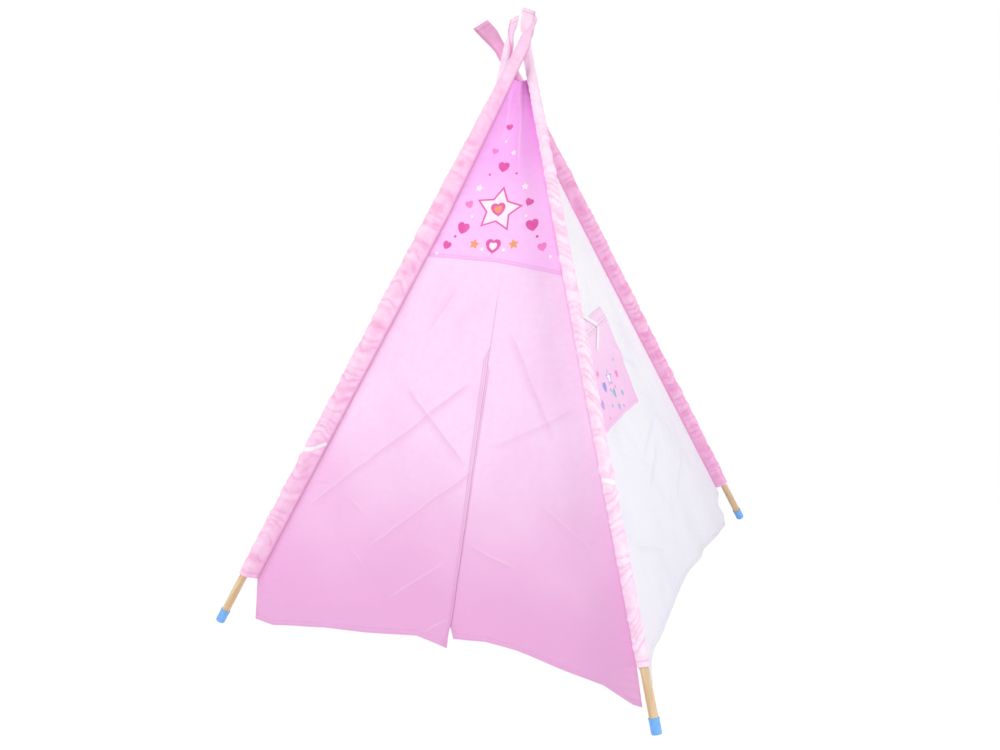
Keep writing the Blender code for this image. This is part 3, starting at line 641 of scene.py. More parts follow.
def ribbon(name, path, sideways, width):
    """A ribbon along a path of middle points, and its length; sideways gives its width direction at each point."""
    across = np.linspace(-0.5, 0.5, 7)
    points = path[:, None, :] + sideways[:, None, :] * (across * width)[None, :, None]
    length = np.concatenate(((0,), np.cumsum(np.linalg.norm(np.diff(path, axis=0), axis=-1))))
    uv = np.stack(
        (np.broadcast_to(across * width, points.shape[:2]), np.broadcast_to(length[:, None], points.shape[:2])),
        axis=-1,
    )
    edge = (0.5 - np.abs(np.broadcast_to(across, points.shape[:2]))) * width
    return cloth_body(name, points, uv, {"from_edge": edge}, RIBBON_LOOK, RIBBON), float(length[-1])


def linear(red, green, blue):
    """Screen levels out of 255 as the linear colour that a material takes."""
    levels = np.array((red, green, blue)) / 255
    values = np.where(levels <= 0.04045, levels / 12.92, ((levels + 0.055) / 1.055) ** 2.4)
    return (*(float(value) for value in values), 1.0)


class Nodes:
    """Short calls for building a node tree: inputs are given as sockets to link or as plain values."""

    def __init__(self, tree):
        self.tree = tree

    def add(self, kind, inputs=None, **settings):
        node = self.tree.nodes.new(kind)
        for key, value in settings.items():
            setattr(node, key, value)
        for key, value in (inputs or {}).items():
            self.feed(node.inputs[key], value)
        return node

    def feed(self, socket, value):
        if isinstance(value, bpy.types.NodeSocket):
            self.tree.links.new(value, socket)
        elif value is not None:
            socket.default_value = value

    def math(self, operation, first, second=None, third=None):
        node = self.add("ShaderNodeMath", operation=operation)
        for socket, value in zip(node.inputs, (first, second, third)):
            self.feed(socket, value)
        return node.outputs[0]

    def times(self, first, second):
        return self.math("MULTIPLY", first, second)

    def times_plus(self, first, second, added):
        return self.math("MULTIPLY_ADD", first, second, added)

    def apart(self, first, second):
        return self.math("ABSOLUTE", self.math("SUBTRACT", first, second))

    def length(self, x, y):
        return self.math("SQRT", self.math("ADD", self.times(x, x), self.times(y, y)))

    def vector(self, operation, first, second=None, scale=None):
        node = self.add("ShaderNodeVectorMath", operation=operation)
        self.feed(node.inputs[0], first)
        self.feed(node.inputs[1], second)
        if scale is not None:
            self.feed(node.inputs["Scale"], scale)
        return node.outputs["Value" if operation in ("DOT_PRODUCT", "LENGTH") else "Vector"]

    def noise(self, vector, scale, detail=3.0, roughness=0.55):
        inputs = {"Vector": vector, "Scale": scale, "Detail": detail, "Roughness": roughness}
        return self.add("ShaderNodeTexNoise", inputs).outputs["Fac"]

    def spread(self, value, low, high, to_low=0.0, to_high=1.0):
        """The value moved smoothly from low..high to another range, and held there."""
        inputs = {"Value": value, "From Min": low, "From Max": high, "To Min": to_low, "To Max": to_high}
        return self.add("ShaderNodeMapRange", inputs, interpolation_type="SMOOTHSTEP").outputs["Result"]

    def mix(self, factor, first, second):
        node = self.add("ShaderNodeMix", data_type="RGBA")
        for index, value in ((0, factor), (6, first), (7, second)):
            self.feed(node.inputs[index], value)
        return node.outputs[2]

    def mark(self, name):
        return self.add("ShaderNodeAttribute", attribute_name=name).outputs["Fac"]

    def uv(self):
        return self.add("ShaderNodeUVMap", uv_map="cloth").outputs["UV"]

    def place(self):
        return self.add("ShaderNodeTexCoord").outputs["Object"]

    def split(self, vector):
        node = self.add("ShaderNodeSeparateXYZ", {"Vector": vector})
        return node.outputs["X"], node.outputs["Y"], node.outputs["Z"]

    def group(self, name, inputs):
        return self.add("ShaderNodeGroup", inputs, node_tree=GROUPS[name]).outputs

    def woven(self, where):
        """The height of the cloth's threads."""
        return self.times(self.group("weave", {"Vector": where, "Thread": THREAD})["Height"], WEAVE_HEIGHT)

    def sewn(self, colour, relief, seam, thread, lines, depth, shade):
        """Stitched lines over a colour and a relief; each line is (mark, distance from that edge, the way it runs)."""
        for mark, distance, along in lines:
            given = {"Distance": self.mark(mark), "Along": along, "Line": distance, "Length": STITCH_LENGTH}
            stitch = self.group("stitch", given)
            relief = self.times_plus(stitch["Groove"], -depth, relief)
            relief = self.times_plus(stitch["Thread"], 0.0004, relief)
            # Painted shade in each stitch's groove, in the seam colour
            colour = self.mix(self.times(stitch["Groove"], shade), colour, seam)
            if thread is not None:
                colour = self.mix(self.times(stitch["Thread"], 0.5), colour, thread)
        return colour, relief

    def dress(self, shader, colour, roughness, relief=None, strength=0.6, sheen=()):
        """Joins colour, roughness and relief to the shader; sheen is specular level, sheen weight and roughness."""
        self.feed(shader.inputs["Base Color"], colour)
        self.feed(shader.inputs["Roughness"], roughness)
        if relief is not None:
            bump = self.add("ShaderNodeBump", {"Height": relief, "Strength": strength, "Distance": 1.0})
            self.feed(shader.inputs["Normal"], bump.outputs["Normal"])
        for key, value in zip(("Specular IOR Level", "Sheen Weight", "Sheen Roughness"), sheen):
            shader.inputs[key].default_value = value


def new_group(name, inputs, outputs):
    tree = bpy.data.node_groups.new(name, "ShaderNodeTree")
    for key, kind in inputs:
        tree.interface.new_socket(name=key, in_out="INPUT", socket_type=kind)
    for key, kind in outputs:
        tree.interface.new_socket(name=key, in_out="OUTPUT", socket_type=kind)
    nodes = Nodes(tree)
    return nodes, nodes.add("NodeGroupInput").outputs, nodes.add("NodeGroupOutput").inputs


FLOAT, VECTOR = "NodeSocketFloat", "NodeSocketVector"


def weave_group():
    """Plain weave: fine threads across each other, with a slow unevenness in their thickness."""
    nodes, given, out = new_group("Plain weave", [("Vector", VECTOR), ("Thread", FLOAT)], [("Height", FLOAT)])
    warp, weft = (
        nodes.math("ABSOLUTE", nodes.math("SINE", nodes.math("DIVIDE", nodes.times(way, math.pi), given["Thread"])))
        for way in nodes.split(given["Vector"])[:2]
    )
    crossed = nodes.math("MAXIMUM", warp, weft)
    slub = nodes.noise(nodes.vector("MULTIPLY", given["Vector"], (30.0, 400.0, 1.0)), 1.0, 2.0)
    nodes.feed(out["Height"], nodes.times(crossed, nodes.math("ADD", slub, 0.6)))
    return nodes.tree


def stitch_group():
    """A line of machine stitches: a mask along a line at a set distance from an edge."""
    inputs = [("Distance", FLOAT), ("Along", FLOAT), ("Line", FLOAT), ("Length", FLOAT)]
    nodes, given, out = new_group("Stitch line", inputs, [("Thread", FLOAT), ("Groove", FLOAT)])
    off = nodes.apart(given["Distance"], given["Line"])
    wave = nodes.math("FRACT", nodes.math("DIVIDE", given["Along"], given["Length"]))
    dash = nodes.spread(nodes.apart(wave, 0.5), 0.34, 0.42, 1.0, 0.0)
    line = nodes.spread(off, 0.0003, 0.0006, 1.0, 0.0)
    nodes.feed(out["Thread"], nodes.times(line, dash))
    nodes.feed(out["Groove"], nodes.spread(off, 0.0003, 0.0022, 1.0, 0.0))
    return nodes.tree


def crease_group():
    """A straight fold line between two points: its crest, used for relief and a painted highlight, and painted shade on
    one side of it.
    """
    inputs = [("Vector", VECTOR), ("Start", VECTOR), ("Run", VECTOR), ("Length", FLOAT)]
    nodes, given, out = new_group("Crease", inputs, [("Crest", FLOAT), ("Side", FLOAT)])
    moved = nodes.vector("SUBTRACT", given["Vector"], given["Start"])
    along = nodes.vector("DOT_PRODUCT", moved, given["Run"])
    across = nodes.split(nodes.vector("CROSS_PRODUCT", given["Run"], moved))[2]
    left_over = nodes.math("SUBTRACT", given["Length"], along)
    ends = nodes.times(nodes.spread(along, -0.01, 0.05), nodes.spread(left_over, -0.01, 0.05))
    crest = nodes.spread(nodes.math("ABSOLUTE", across), 0.0003, 0.0046, 1.0, 0.0)
    side = nodes.times(nodes.spread(across, -0.034, 0.0), nodes.spread(across, 0.0, 0.0020, 1.0, 0.0))
    nodes.feed(out["Crest"], nodes.times(crest, ends))
    nodes.feed(out["Side"], nodes.times(nodes.times(side, side), ends))
    return nodes.tree


def placed_motif(nodes, given):
    """The drawing point in a motif's own frame: centred, turned and divided by its size."""
    moved = nodes.vector("SUBTRACT", given["Vector"], given["Centre"])
    turned = nodes.add(
        "ShaderNodeVectorRotate", {"Vector": moved, "Angle": given["Turn"]}, rotation_type="Z_AXIS"
    ).outputs["Vector"]
    scaled = nodes.vector("SCALE", turned, scale=nodes.math("DIVIDE", 1.0, given["Size"]))
    return nodes.split(scaled)


MOTIF_INPUTS = [("Vector", VECTOR), ("Centre", VECTOR), ("Size", FLOAT), ("Turn", FLOAT)]


def heart_group():
    nodes, given, out = new_group("Heart", MOTIF_INPUTS, [("Mask", FLOAT)])
    x, y, _ = placed_motif(nodes, given)
    square = nodes.times(x, x)
    bulk = nodes.math("SUBTRACT", nodes.math("ADD", square, nodes.times(y, y)), 1.0)
    cube = nodes.times(nodes.times(bulk, bulk), bulk)
    lobes = nodes.times(square, nodes.times(nodes.times(y, y), y))
    value = nodes.math("SUBTRACT", cube, lobes)
    nodes.feed(out["Mask"], nodes.spread(value, -0.012, 0.012, 1.0, 0.0))
    return nodes.tree


def star_group():
    """A five-pointed star, from one edge of one arm folded round by its angle."""
    nodes, given, out = new_group("Star", MOTIF_INPUTS, [("Mask", FLOAT)])
    x, y, _ = placed_motif(nodes, given)
    angle = nodes.math("ARCTAN2", x, y)
    fifth = 2 * math.pi / 5
    folded = nodes.math("PINGPONG", nodes.math("ADD", angle, 10 * fifth), fifth / 2)
    radius = nodes.length(x, y)
    side = nodes.times(radius, nodes.math("SINE", folded))
    up = nodes.times(radius, nodes.math("COSINE", folded))
    edge = nodes.math("ADD", nodes.times(side, 0.88), nodes.times_plus(up, 0.475, -0.475))
    nodes.feed(out["Mask"], nodes.spread(edge, -0.02, 0.02, 1.0, 0.0))
    return nodes.tree


def dot_group():
    nodes, given, out = new_group("Dot", MOTIF_INPUTS, [("Mask", FLOAT)])
    x, y, _ = placed_motif(nodes, given)
    radius = nodes.length(x, y)
    nodes.feed(out["Mask"], nodes.spread(radius, 0.93, 1.07, 1.0, 0.0))
    return nodes.tree


GROUPS = {
    "weave": weave_group(),
    "stitch": stitch_group(),
    "crease": crease_group(),
    "heart": heart_group(),
    "star": star_group(),
    "dot": dot_group(),
}

MAGENTA = linear(226, 70, 160)
ROSE = linear(244, 128, 198)
PRINT_WHITE = linear(255, 246, 253)
GOLD = linear(240, 160, 80)
LILAC = linear(186, 150, 232)
TEAL = linear(112, 186, 206)
BLUE = linear(128, 150, 228)

# The printed panel: kind, place along the wall, distance up the slope, size, turn in degrees, colour
PANEL_PRINT = (
    ("star", 0.020, 1.166, 0.062, 6, MAGENTA),
    ("star", 0.020, 1.166, 0.053, 6, PRINT_WHITE),
    ("heart", 0.020, 1.164, 0.016, -8, MAGENTA),
    ("heart", 0.020, 1.165, 0.009, -8, GOLD),
    ("heart", -0.066, 1.112, 0.014, 14, MAGENTA),
    ("heart", 0.112, 1.126, 0.014, -16, MAGENTA),
    ("heart", 0.020, 1.068, 0.017, 0, MAGENTA),
    ("heart", 0.020, 1.069, 0.009, 0, PRINT_WHITE),
    ("star", -0.030, 1.074, 0.014, 10, GOLD),
    ("star", 0.072, 1.078, 0.014, -14, GOLD),
    ("dot", -0.008, 1.062, 0.0042, 0, PRINT_WHITE),
    ("dot", 0.048, 1.063, 0.0042, 0, PRINT_WHITE),
    ("heart", -0.104, 1.066, 0.010, 22, MAGENTA),
    ("heart", 0.146, 1.072, 0.010, -20, ROSE),
    ("dot", -0.128, 1.045, 0.0040, 0, PRINT_WHITE),
    ("dot", 0.170, 1.050, 0.0040, 0, PRINT_WHITE),
    ("dot", -0.084, 1.092, 0.0036, 0, MAGENTA),
    ("dot", 0.128, 1.100, 0.0036, 0, MAGENTA),
    ("heart", -0.056, 1.176, 0.009, -18, ROSE),
    ("heart", 0.094, 1.186, 0.009, 20, MAGENTA),
    ("dot", -0.046, 1.146, 0.0034, 0, PRINT_WHITE),
    ("dot", 0.092, 1.152, 0.0034, 0, PRINT_WHITE),
    ("star", -0.036, 1.222, 0.010, 18, PRINT_WHITE),
    ("star", 0.078, 1.228, 0.010, -8, PRINT_WHITE),
    ("heart", 0.018, 1.276, 0.012, 6, MAGENTA),
    ("dot", -0.014, 1.258, 0.0030, 0, MAGENTA),
    ("dot", 0.052, 1.262, 0.0030, 0, MAGENTA),
    ("heart", -0.008, 1.318, 0.007, 16, ROSE),
    ("star", 0.038, 1.316, 0.008, -10, PRINT_WHITE),
    ("dot", 0.016, 1.346, 0.0030, 0, PRINT_WHITE),
    ("heart", 0.020, 1.382, 0.007, -6, MAGENTA),
)

# The window cover's print, in the same columns
COVER_PRINT = (
    ("star", -0.067, 0.700, 0.026, 12, LILAC),
    ("star", -0.067, 0.700, 0.017, 12, PRINT_WHITE),
    ("heart", -0.070, 0.655, 0.012, -6, TEAL),
    ("dot", -0.092, 0.672, 0.005, 0, BLUE),
    ("dot", -0.044, 0.668, 0.005, 0, ROSE),
    ("star", -0.074, 0.622, 0.012, 20, BLUE),
    ("heart", -0.002, 0.690, 0.010, 14, ROSE),
    ("dot", 0.014, 0.730, 0.0045, 0, LILAC),
    ("star", -0.010, 0.640, 0.011, -12, TEAL),
    ("dot", -0.034, 0.610, 0.0045, 0, LILAC),
    ("heart", -0.132, 0.690, 0.013, 8, BLUE),
    ("star", -0.152, 0.735, 0.012, -10, ROSE),
    ("dot", -0.127, 0.640, 0.005, 0, TEAL),
    ("heart", -0.192, 0.660, 0.011, -14, LILAC),
    ("star", -0.202, 0.715, 0.011, 16, TEAL),
    ("dot", -0.172, 0.620, 0.0045, 0, ROSE),
)


def printed(nodes, colour, motifs):
    """The colour with the motifs printed over it."""
    for kind, x, t, size, turn, ink in motifs:
        given = {"Vector": nodes.uv(), "Centre": (x, t, 0.0), "Size": size, "Turn": math.radians(turn)}
        colour = nodes.mix(nodes.times(nodes.group(kind, given)["Mask"], 0.94), colour, ink)
    return colour


def new_material(name):
    made = bpy.data.materials.new(name)
    made.use_nodes = True
    return made, Nodes(made.node_tree), made.node_tree.nodes["Principled BSDF"]


def cloth_material(
    name, light, shade, lines, low=0.05, high=1.1, print_over=(), seam=None, wall=None, creases=(), wrinkles=0.0,
    strip=None, crease_shade=None,
):
    """Woven cloth: painted light and shade by height, mottling, painted shade in soft patches, weave, stitched lines
    and a little dust near the floor.

    lines are (mark, distance from that edge, how the line runs: 0 for across, 1 for up); creases lie on the wall and
    take a painted highlight on top and painted shade on one side; the seams at the casings take painted shade.
    """
    crease_shade = crease_shade or shade
    made, nodes, shader = new_material(name)
    where = nodes.uv()
    x, y, _ = nodes.split(where)
    height = nodes.split(nodes.place())[2]
    drift = nodes.noise(where, 3.0, 2.0)
    level = nodes.math("ADD", height, nodes.times_plus(drift, 0.3, -0.15))
    # Painted light and shade by height: the shade colour at the height low, the light colour at the height high
    colour = nodes.mix(nodes.spread(level, low, high), shade, light)
    # The painted highlight colour for the creases' tops
    crest = nodes.mix(0.40, light, WHITE)
    colour = printed(nodes, colour, print_over)
    mottle = nodes.noise(where, 55.0, 4.0)
    colour = nodes.mix(nodes.spread(mottle, 0.35, 0.7, 0.0, 0.10), colour, shade)
    # Painted shade in soft random patches
    patches = nodes.noise(nodes.vector("MULTIPLY", where, (1.0, 0.6, 1.0)), 7.0, 2.0)
    colour = nodes.mix(nodes.spread(patches, 0.48, 0.66, 0.0, 0.14), colour, crease_shade)
    dust = nodes.times(nodes.spread(height, 0.02, 0.13, 0.14, 0.0), nodes.noise(where, 18.0, 5.0))
    colour = nodes.mix(dust, colour, linear(196, 178, 190))
    relief = nodes.times_plus(nodes.noise(where, 42.0, 3.0), 0.0010, nodes.woven(where))
    bent = nodes.add("ShaderNodeTexNoise", {"Vector": where, "Scale": 6.0, "Detail": 2.0}).outputs["Color"]
    wandering = nodes.vector("ADD", where, nodes.vector("SCALE", bent, scale=0.030))
    ridges = nodes.apart(nodes.noise(wandering, 13.0, 2.0), 0.5)
    ridges = nodes.times(nodes.spread(ridges, 0.0, 0.050, 1.0, 0.0), nodes.spread(patches, 0.44, 0.60))
    relief = nodes.times_plus(ridges, 0.0016 * wrinkles, relief)
    unevenly = nodes.vector("ADD", where, nodes.vector("SCALE", bent, scale=0.022))
    # Each crease gets a painted highlight along its top and painted shade on one side
    for start, end, height in creases:
        slope = float(np.linalg.norm(wall.normal[:2]))
        first, second = (
            np.array((place + CREASE_DRIFT, rise / slope + CREASE_DRIFT, 0.0)) for place, rise in (start, end)
        )
        length = float(np.linalg.norm(second - first))
        run = (second - first) / length
        given = {"Vector": unevenly, "Start": tuple(first), "Run": tuple(run), "Length": length}
        fold = nodes.group("crease", given)
        relief = nodes.times_plus(fold["Crest"], height * 0.7, relief)
        colour = nodes.mix(nodes.times(fold["Side"], 280.0 * height), colour, crease_shade)
        colour = nodes.mix(nodes.times(fold["Crest"], 190.0 * height), colour, crest)
    # Darker along the seams at the casings: the seam's own colour, with painted shade where the wall meets its casing
    seam_and_painted_shade = nodes.spread(nodes.mark("from_casing"), 0.0010, 0.0060, 0.40, 0.0)
    colour = nodes.mix(seam_and_painted_shade, colour, seam)
    if strip is not None:
        folded_edge = nodes.spread(nodes.mark(strip), HEM_WIDTH - 0.002, HEM_WIDTH, 0.18, 0.0)
        below_top = nodes.spread(height, 0.50, 0.78, 1.0, 0.0)
        colour = nodes.mix(nodes.times(folded_edge, below_top), colour, seam)
    ways = [(mark, distance, y if runs_up else x) for mark, distance, runs_up in lines]
    colour, relief = nodes.sewn(colour, relief, seam, light, ways, 0.0005, 0.28)
    nodes.dress(shader, colour, nodes.spread(mottle, 0.3, 0.7, 0.68, 0.82), relief, 0.7, (0.35, 0.25, 0.45))
    return made


def sleeve_material():
    """The casings: the same woven cloth, with the darker seam line where the walls are sewn in, painted shade in the
    pleats' valleys, painted highlights on their crests, and each casing's own depth of painted shade.
    """
    made, nodes, shader = new_material("gathered casing cloth")
    line = linear(222, 116, 178)
    where = nodes.uv()
    x, y, _ = nodes.split(where)
    drift = nodes.noise(where, 26.0, 3.0)
    # The depth mark moves a casing's colours towards painted shade: not at all at the front right, most at the back
    # right
    depth = nodes.mark("depth")
    light = nodes.mix(depth, linear(254, 228, 247), linear(248, 190, 228))
    shade = nodes.mix(depth, linear(251, 204, 234), linear(240, 162, 208))
    fold = nodes.mix(depth, linear(244, 172, 216), linear(228, 128, 184))
    colour = nodes.mix(nodes.spread(drift, 0.35, 0.65, 0.0, 0.5), light, shade)
    # Painted shade in the pleats' valleys, in the fold colour, and a painted highlight on their crests, in the crest
    # colour
    tone = nodes.mark("tone")
    valley = nodes.times(nodes.spread(tone, 0.0, -0.9), nodes.spread(drift, 0.25, 0.6, 0.12, 0.45))
    colour = nodes.mix(valley, colour, fold)
    crest = nodes.mix(depth, linear(255, 246, 252), linear(253, 214, 236))
    colour = nodes.mix(nodes.spread(tone, 0.1, 0.9, 0.0, 0.40), colour, crest)
    from_seam = nodes.mark("from_seam")
    wander = nodes.times_plus(nodes.noise(where, 60.0, 2.0), 0.0030, -0.0015)
    sewn = nodes.spread(nodes.math("ADD", from_seam, wander), 0.0018, 0.0048, 1.0, 0.0)
    colour = nodes.mix(nodes.times(sewn, 0.65), colour, line)
    relief = nodes.times_plus(drift, 0.0012, nodes.woven(where))
    lines = (("from_seam", 0.0062, y), ("from_hem", 0.0130, x), ("from_top", 0.0110, x))
    colour, relief = nodes.sewn(colour, relief, line, None, lines, 0.0006, 0.30)
    nodes.dress(shader, colour, nodes.spread(drift, 0.3, 0.7, 0.62, 0.80), relief, 0.8, (0.35, 0.3, 0.4))
    return made


def ribbon_material():
    """White satin: ribs across its length, a woven edge and a soft shine."""
    made, nodes, shader = new_material("white satin ribbon")
    where = nodes.uv()
    ribs = nodes.math("ABSOLUTE", nodes.math("SINE", nodes.times(nodes.split(where)[1], math.pi / RIBBON)))
    edge = nodes.spread(nodes.mark("from_edge"), 0.0006, 0.0012, 1.0, 0.0)
    cloudy = nodes.noise(where, 90.0, 2.0)
    colour = nodes.mix(nodes.times(edge, 0.4), linear(252, 248, 253), linear(232, 222, 238))
    colour = nodes.mix(nodes.spread(cloudy, 0.3, 0.7, 0.0, 0.12), colour, linear(226, 216, 236))
    relief = nodes.times_plus(edge, 0.00015, nodes.times(ribs, 0.00004))
    nodes.dress(shader, colour, nodes.spread(cloudy, 0.3, 0.7, 0.34, 0.46), relief)
    return made


def wood_material(pole):
    """Pale pine with its grain along this pole."""
    made, nodes, shader = new_material(f"pine of the {pole.name} pole")
    place = nodes.place()
    ways = {
        key: nodes.vector("DOT_PRODUCT", place, tuple(float(v) for v in way))
        for key, way in (("X", pole.across), ("Y", pole.into), ("Z", pole.along))
    }
    frame_of_pole = nodes.add("ShaderNodeCombineXYZ", ways).outputs["Vector"]
    stretched = nodes.vector("MULTIPLY", frame_of_pole, (1.0, 1.0, 0.05))
    grain = nodes.noise(stretched, 320.0, 4.0, 0.6)
    broad = nodes.noise(nodes.vector("MULTIPLY", frame_of_pole, (1.0, 1.0, 0.12)), 70.0, 2.0)
    colour = nodes.mix(nodes.spread(broad, 0.3, 0.7), linear(240, 216, 178), linear(212, 180, 138))
    colour = nodes.mix(nodes.spread(grain, 0.48, 0.72, 0.0, 0.55), colour, linear(178, 136, 92))
    pores = nodes.noise(nodes.vector("MULTIPLY", frame_of_pole, (1.0, 1.0, 0.03)), 900.0, 2.0)
    relief = nodes.times_plus(grain, 0.00025, nodes.times(pores, 0.00010))
    nodes.dress(shader, colour, nodes.spread(grain, 0.3, 0.7, 0.48, 0.62), relief)
    return made


def rubber_material():
    """Blue rubber, scuffed where it stands on the floor."""
    made, nodes, shader = new_material("blue rubber cap")
    place = nodes.place()
    height = nodes.split(place)[2]
    fine, cloudy = nodes.noise(place, 900.0, 2.0), nodes.noise(place, 120.0, 4.0)
    scuff = nodes.times(nodes.spread(height, 0.001, 0.009, 1.0, 0.0), cloudy)
    colour = nodes.mix(nodes.spread(cloudy, 0.3, 0.7, 0.0, 0.4), linear(122, 186, 250), linear(98, 162, 232))
    colour = nodes.mix(nodes.times(scuff, 0.7), colour, linear(172, 192, 214))
    nodes.dress(shader, colour, nodes.spread(cloudy, 0.3, 0.7, 0.42, 0.60), nodes.times(fine, 0.00012))
    return made


def grey_material():
    """The grey plastic of the connectors, which the casings hide."""
    made, nodes, shader = new_material("grey connector plastic")
    cloudy = nodes.noise(nodes.place(), 200.0, 3.0)
    colour = nodes.mix(cloudy, linear(206, 206, 212), linear(188, 188, 196))
    nodes.dress(shader, colour, nodes.spread(cloudy, 0.3, 0.7, 0.38, 0.52))
    return made


# Each casing's painted shade: none on the front right, some on the front left, most on the back right
front_left = Pole(
    "front_left", -1, -1, 11, painted_shade_share=0.45, tip_turn=-60, tie_slant=FRONT_LEFT_TIE_SLANT,
)
front_right = Pole(
    "front_right", 1, -1, 12, tip_length=FRONT_RIGHT_TIP_LENGTH, tip_sway=FRONT_RIGHT_TIP_SWAY, tip_turn=70,
    tie_slant=FRONT_RIGHT_TIE_SLANT,
)
back_right = Pole(
    "back_right", 1, 1, 13, start=BACK_RIGHT_SLEEVE_START, casing_start=BACK_RIGHT_CASING_START,
    seam_reach=BACK_RIGHT_SEAM_REACH, painted_shade_share=1.0, tip_droop=BACK_RIGHT_TIP_DROOP,
)
back_left = Pole("back_left", -1, 1, 14, offset=BACK_LEFT_CROSS_OFFSET, tip_turn=50)
poles = (front_left, front_right, back_right, back_left)

# Fold lines left from storage: two ends as (place along the wall, height), then how high the fold stands
FRONT_CREASES = (
    ((-0.395, 0.321), (0.018, 0.672), 0.0016),
    ((-0.166, 0.653), (0.036, 0.479), 0.0016),
    ((-0.206, 0.243), (0.064, 0.473), 0.0015),
    ((-0.126, 0.131), (0.021, 0.251), 0.0013),
    ((-0.302, 0.367), (-0.211, 0.315), 0.0010),
    ((-0.260, 0.240), (-0.200, 0.190), 0.0010),
    ((-0.021, 0.074), (0.053, 0.123), 0.0014),
    ((0.100, 0.800), (0.260, 0.560), 0.0014),
    ((0.090, 0.520), (0.300, 0.640), 0.0010),
    ((0.070, 0.300), (0.210, 0.260), 0.0014),
    ((0.240, 0.420), (0.390, 0.330), 0.0010),
    ((-0.050, 0.905), (-0.120, 0.760), 0.0010),
)
PANEL_CREASES = (
    ((0.028, 1.385), (0.062, 1.180), 0.0014),
    ((0.018, 1.390), (0.004, 1.240), 0.0012),
    ((0.036, 1.390), (0.090, 1.270), 0.0010),
)
RIGHT_CREASES = (
    ((0.020, 0.720), (0.210, 0.600), 0.0018),
    ((0.000, 0.430), (0.200, 0.480), 0.0014),
    ((-0.060, 0.340), (0.130, 0.420), 0.0014),
    ((0.100, 0.250), (0.330, 0.330), 0.0012),
    ((-0.300, 0.300), (-0.100, 0.200), 0.0012),
    ((-0.150, 1.170), (-0.110, 0.860), 0.0022),
    ((0.180, 0.520), (0.300, 0.360), 0.0012),
)
PLAIN_CREASES = (
    ((-0.250, 0.560), (0.120, 0.420), 0.0015),
    ((0.050, 0.300), (0.300, 0.620), 0.0013),
    ((-0.120, 0.900), (0.060, 0.760), 0.0013),
)

front = Wall(
    front_left, front_right, FRONT_LEFT_TUCK, FRONT_RIGHT_TUCK, 0, 1, FRONT_HEM,
    wall_relief(21, 0.007, (*FRONT_CREASES, *PANEL_CREASES), 0.0016, 0.006),
)
right = Wall(
    front_right, back_right, SIDE_TUCK, SIDE_TUCK + 0.010, 1, 1, RIGHT_HEM,
    wall_relief(31, -0.003, RIGHT_CREASES, 0.0015, 0.007), BACK_NOTCH,
)
back = Wall(
    back_right, back_left, SIDE_TUCK, SIDE_TUCK, 0, -1, PLAIN_HEM,
    wall_relief(41, 0.006, PLAIN_CREASES, 0.0015, 0.007),
)
left = Wall(
    back_left, front_left, SIDE_TUCK, SIDE_TUCK, 1, -1, PLAIN_HEM,
    wall_relief(51, 0.006, PLAIN_CREASES, 0.0015, 0.007),
)

CASING = sleeve_material()
RIBBON_LOOK = ribbon_material()
EDGES = (("from_hem", 0.0130, 0), ("from_hem", 0.0030, 0))
SLIT_EDGES = (*EDGES, ("from_slit", 0.0050, 1), ("from_slit", 0.0120, 1))
DOOR_CLOTH = cloth_material(
    "pink door cloth", linear(251, 216, 248), linear(236, 174, 222), SLIT_EDGES, low=0.10, high=0.62,
    seam=linear(222, 140, 198), wall=front, creases=FRONT_CREASES, strip="from_slit",
)
PANEL_CLOTH = cloth_material(
    "printed pink cloth", linear(252, 200, 250), linear(246, 166, 240),
    (("from_hem", 0.0030, 0), ("from_hem", 0.0090, 0), ("from_top", 0.0080, 0)),
    low=1.36, high=1.05, print_over=PANEL_PRINT, seam=linear(222, 116, 196), wall=front, creases=PANEL_CREASES,
)
WHITE_CLOTH = cloth_material(
    "white cloth", linear(248, 246, 252), linear(236, 234, 244), EDGES, high=0.9, seam=linear(214, 206, 224),
    wrinkles=0.7, wall=right, creases=RIGHT_CREASES, crease_shade=linear(216, 218, 236),
)
COVER_CLOTH = cloth_material(
    "printed window cloth", linear(252, 218, 246), linear(246, 196, 236),
    (("from_hem", 0.0100, 0), ("from_top", 0.0060, 0), ("from_left", 0.0080, 1), ("from_right", 0.0080, 1)),
    low=0.50, high=0.85, print_over=COVER_PRINT, seam=linear(232, 160, 214),
)
BACK_CLOTH = cloth_material(
    "pink back cloth", linear(251, 216, 248), linear(236, 174, 222), EDGES, low=0.10, high=0.62,
    seam=linear(222, 140, 198), wall=back, creases=PLAIN_CREASES, wrinkles=0.6,
)


def fold_with(made, pole, wall):
    """Gives the cloth its own mesh; the line of this pole's seam that it works out is not used."""
    side = wall.poles.index(pole)
    low = wall.edge(side, np.float64(FOLD_LINE_LOW))
    high = wall.edge(side, np.float64(FOLD_LINE_HIGH))
    level = unit(wall.edge(1 - side, np.float64(FOLD_LINE_LOW)) - low)
    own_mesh(made)


def finish_cloth(made, body, pole, wall, stands_for):
    """Joins a wall sheet to its body, gives it its own mesh and hides the CAD parts it stands for; its cut is worked
    out but not used.
    """
    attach(made, body)
    fold_with(made, pole, wall)
    if stands_for:
        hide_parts(*stands_for)
    flat, area = cut_of(made)


def cut_of(made):
    """The flat size and area of a sheet's cut, from its own cloth coordinates."""
    mesh = made.data
    uv = np.zeros(len(mesh.loops) * 2, np.float32)
    mesh.uv_layers["cloth"].data.foreach_get("uv", uv)
    uv = uv.reshape(-1, 4, 2).astype(float)
    size = uv.reshape(-1, 2).max(0) - uv.reshape(-1, 2).min(0)
    x, y = uv[..., 0], uv[..., 1]
    area = np.abs((x * np.roll(y, -1, 1) - y * np.roll(x, -1, 1)).sum(1) / 2).sum() / 2
    flat = (float(size[0]), float(size[1]))
    return flat, float(min(max(area, 0.3 * flat[0] * flat[1]), flat[0] * flat[1]))


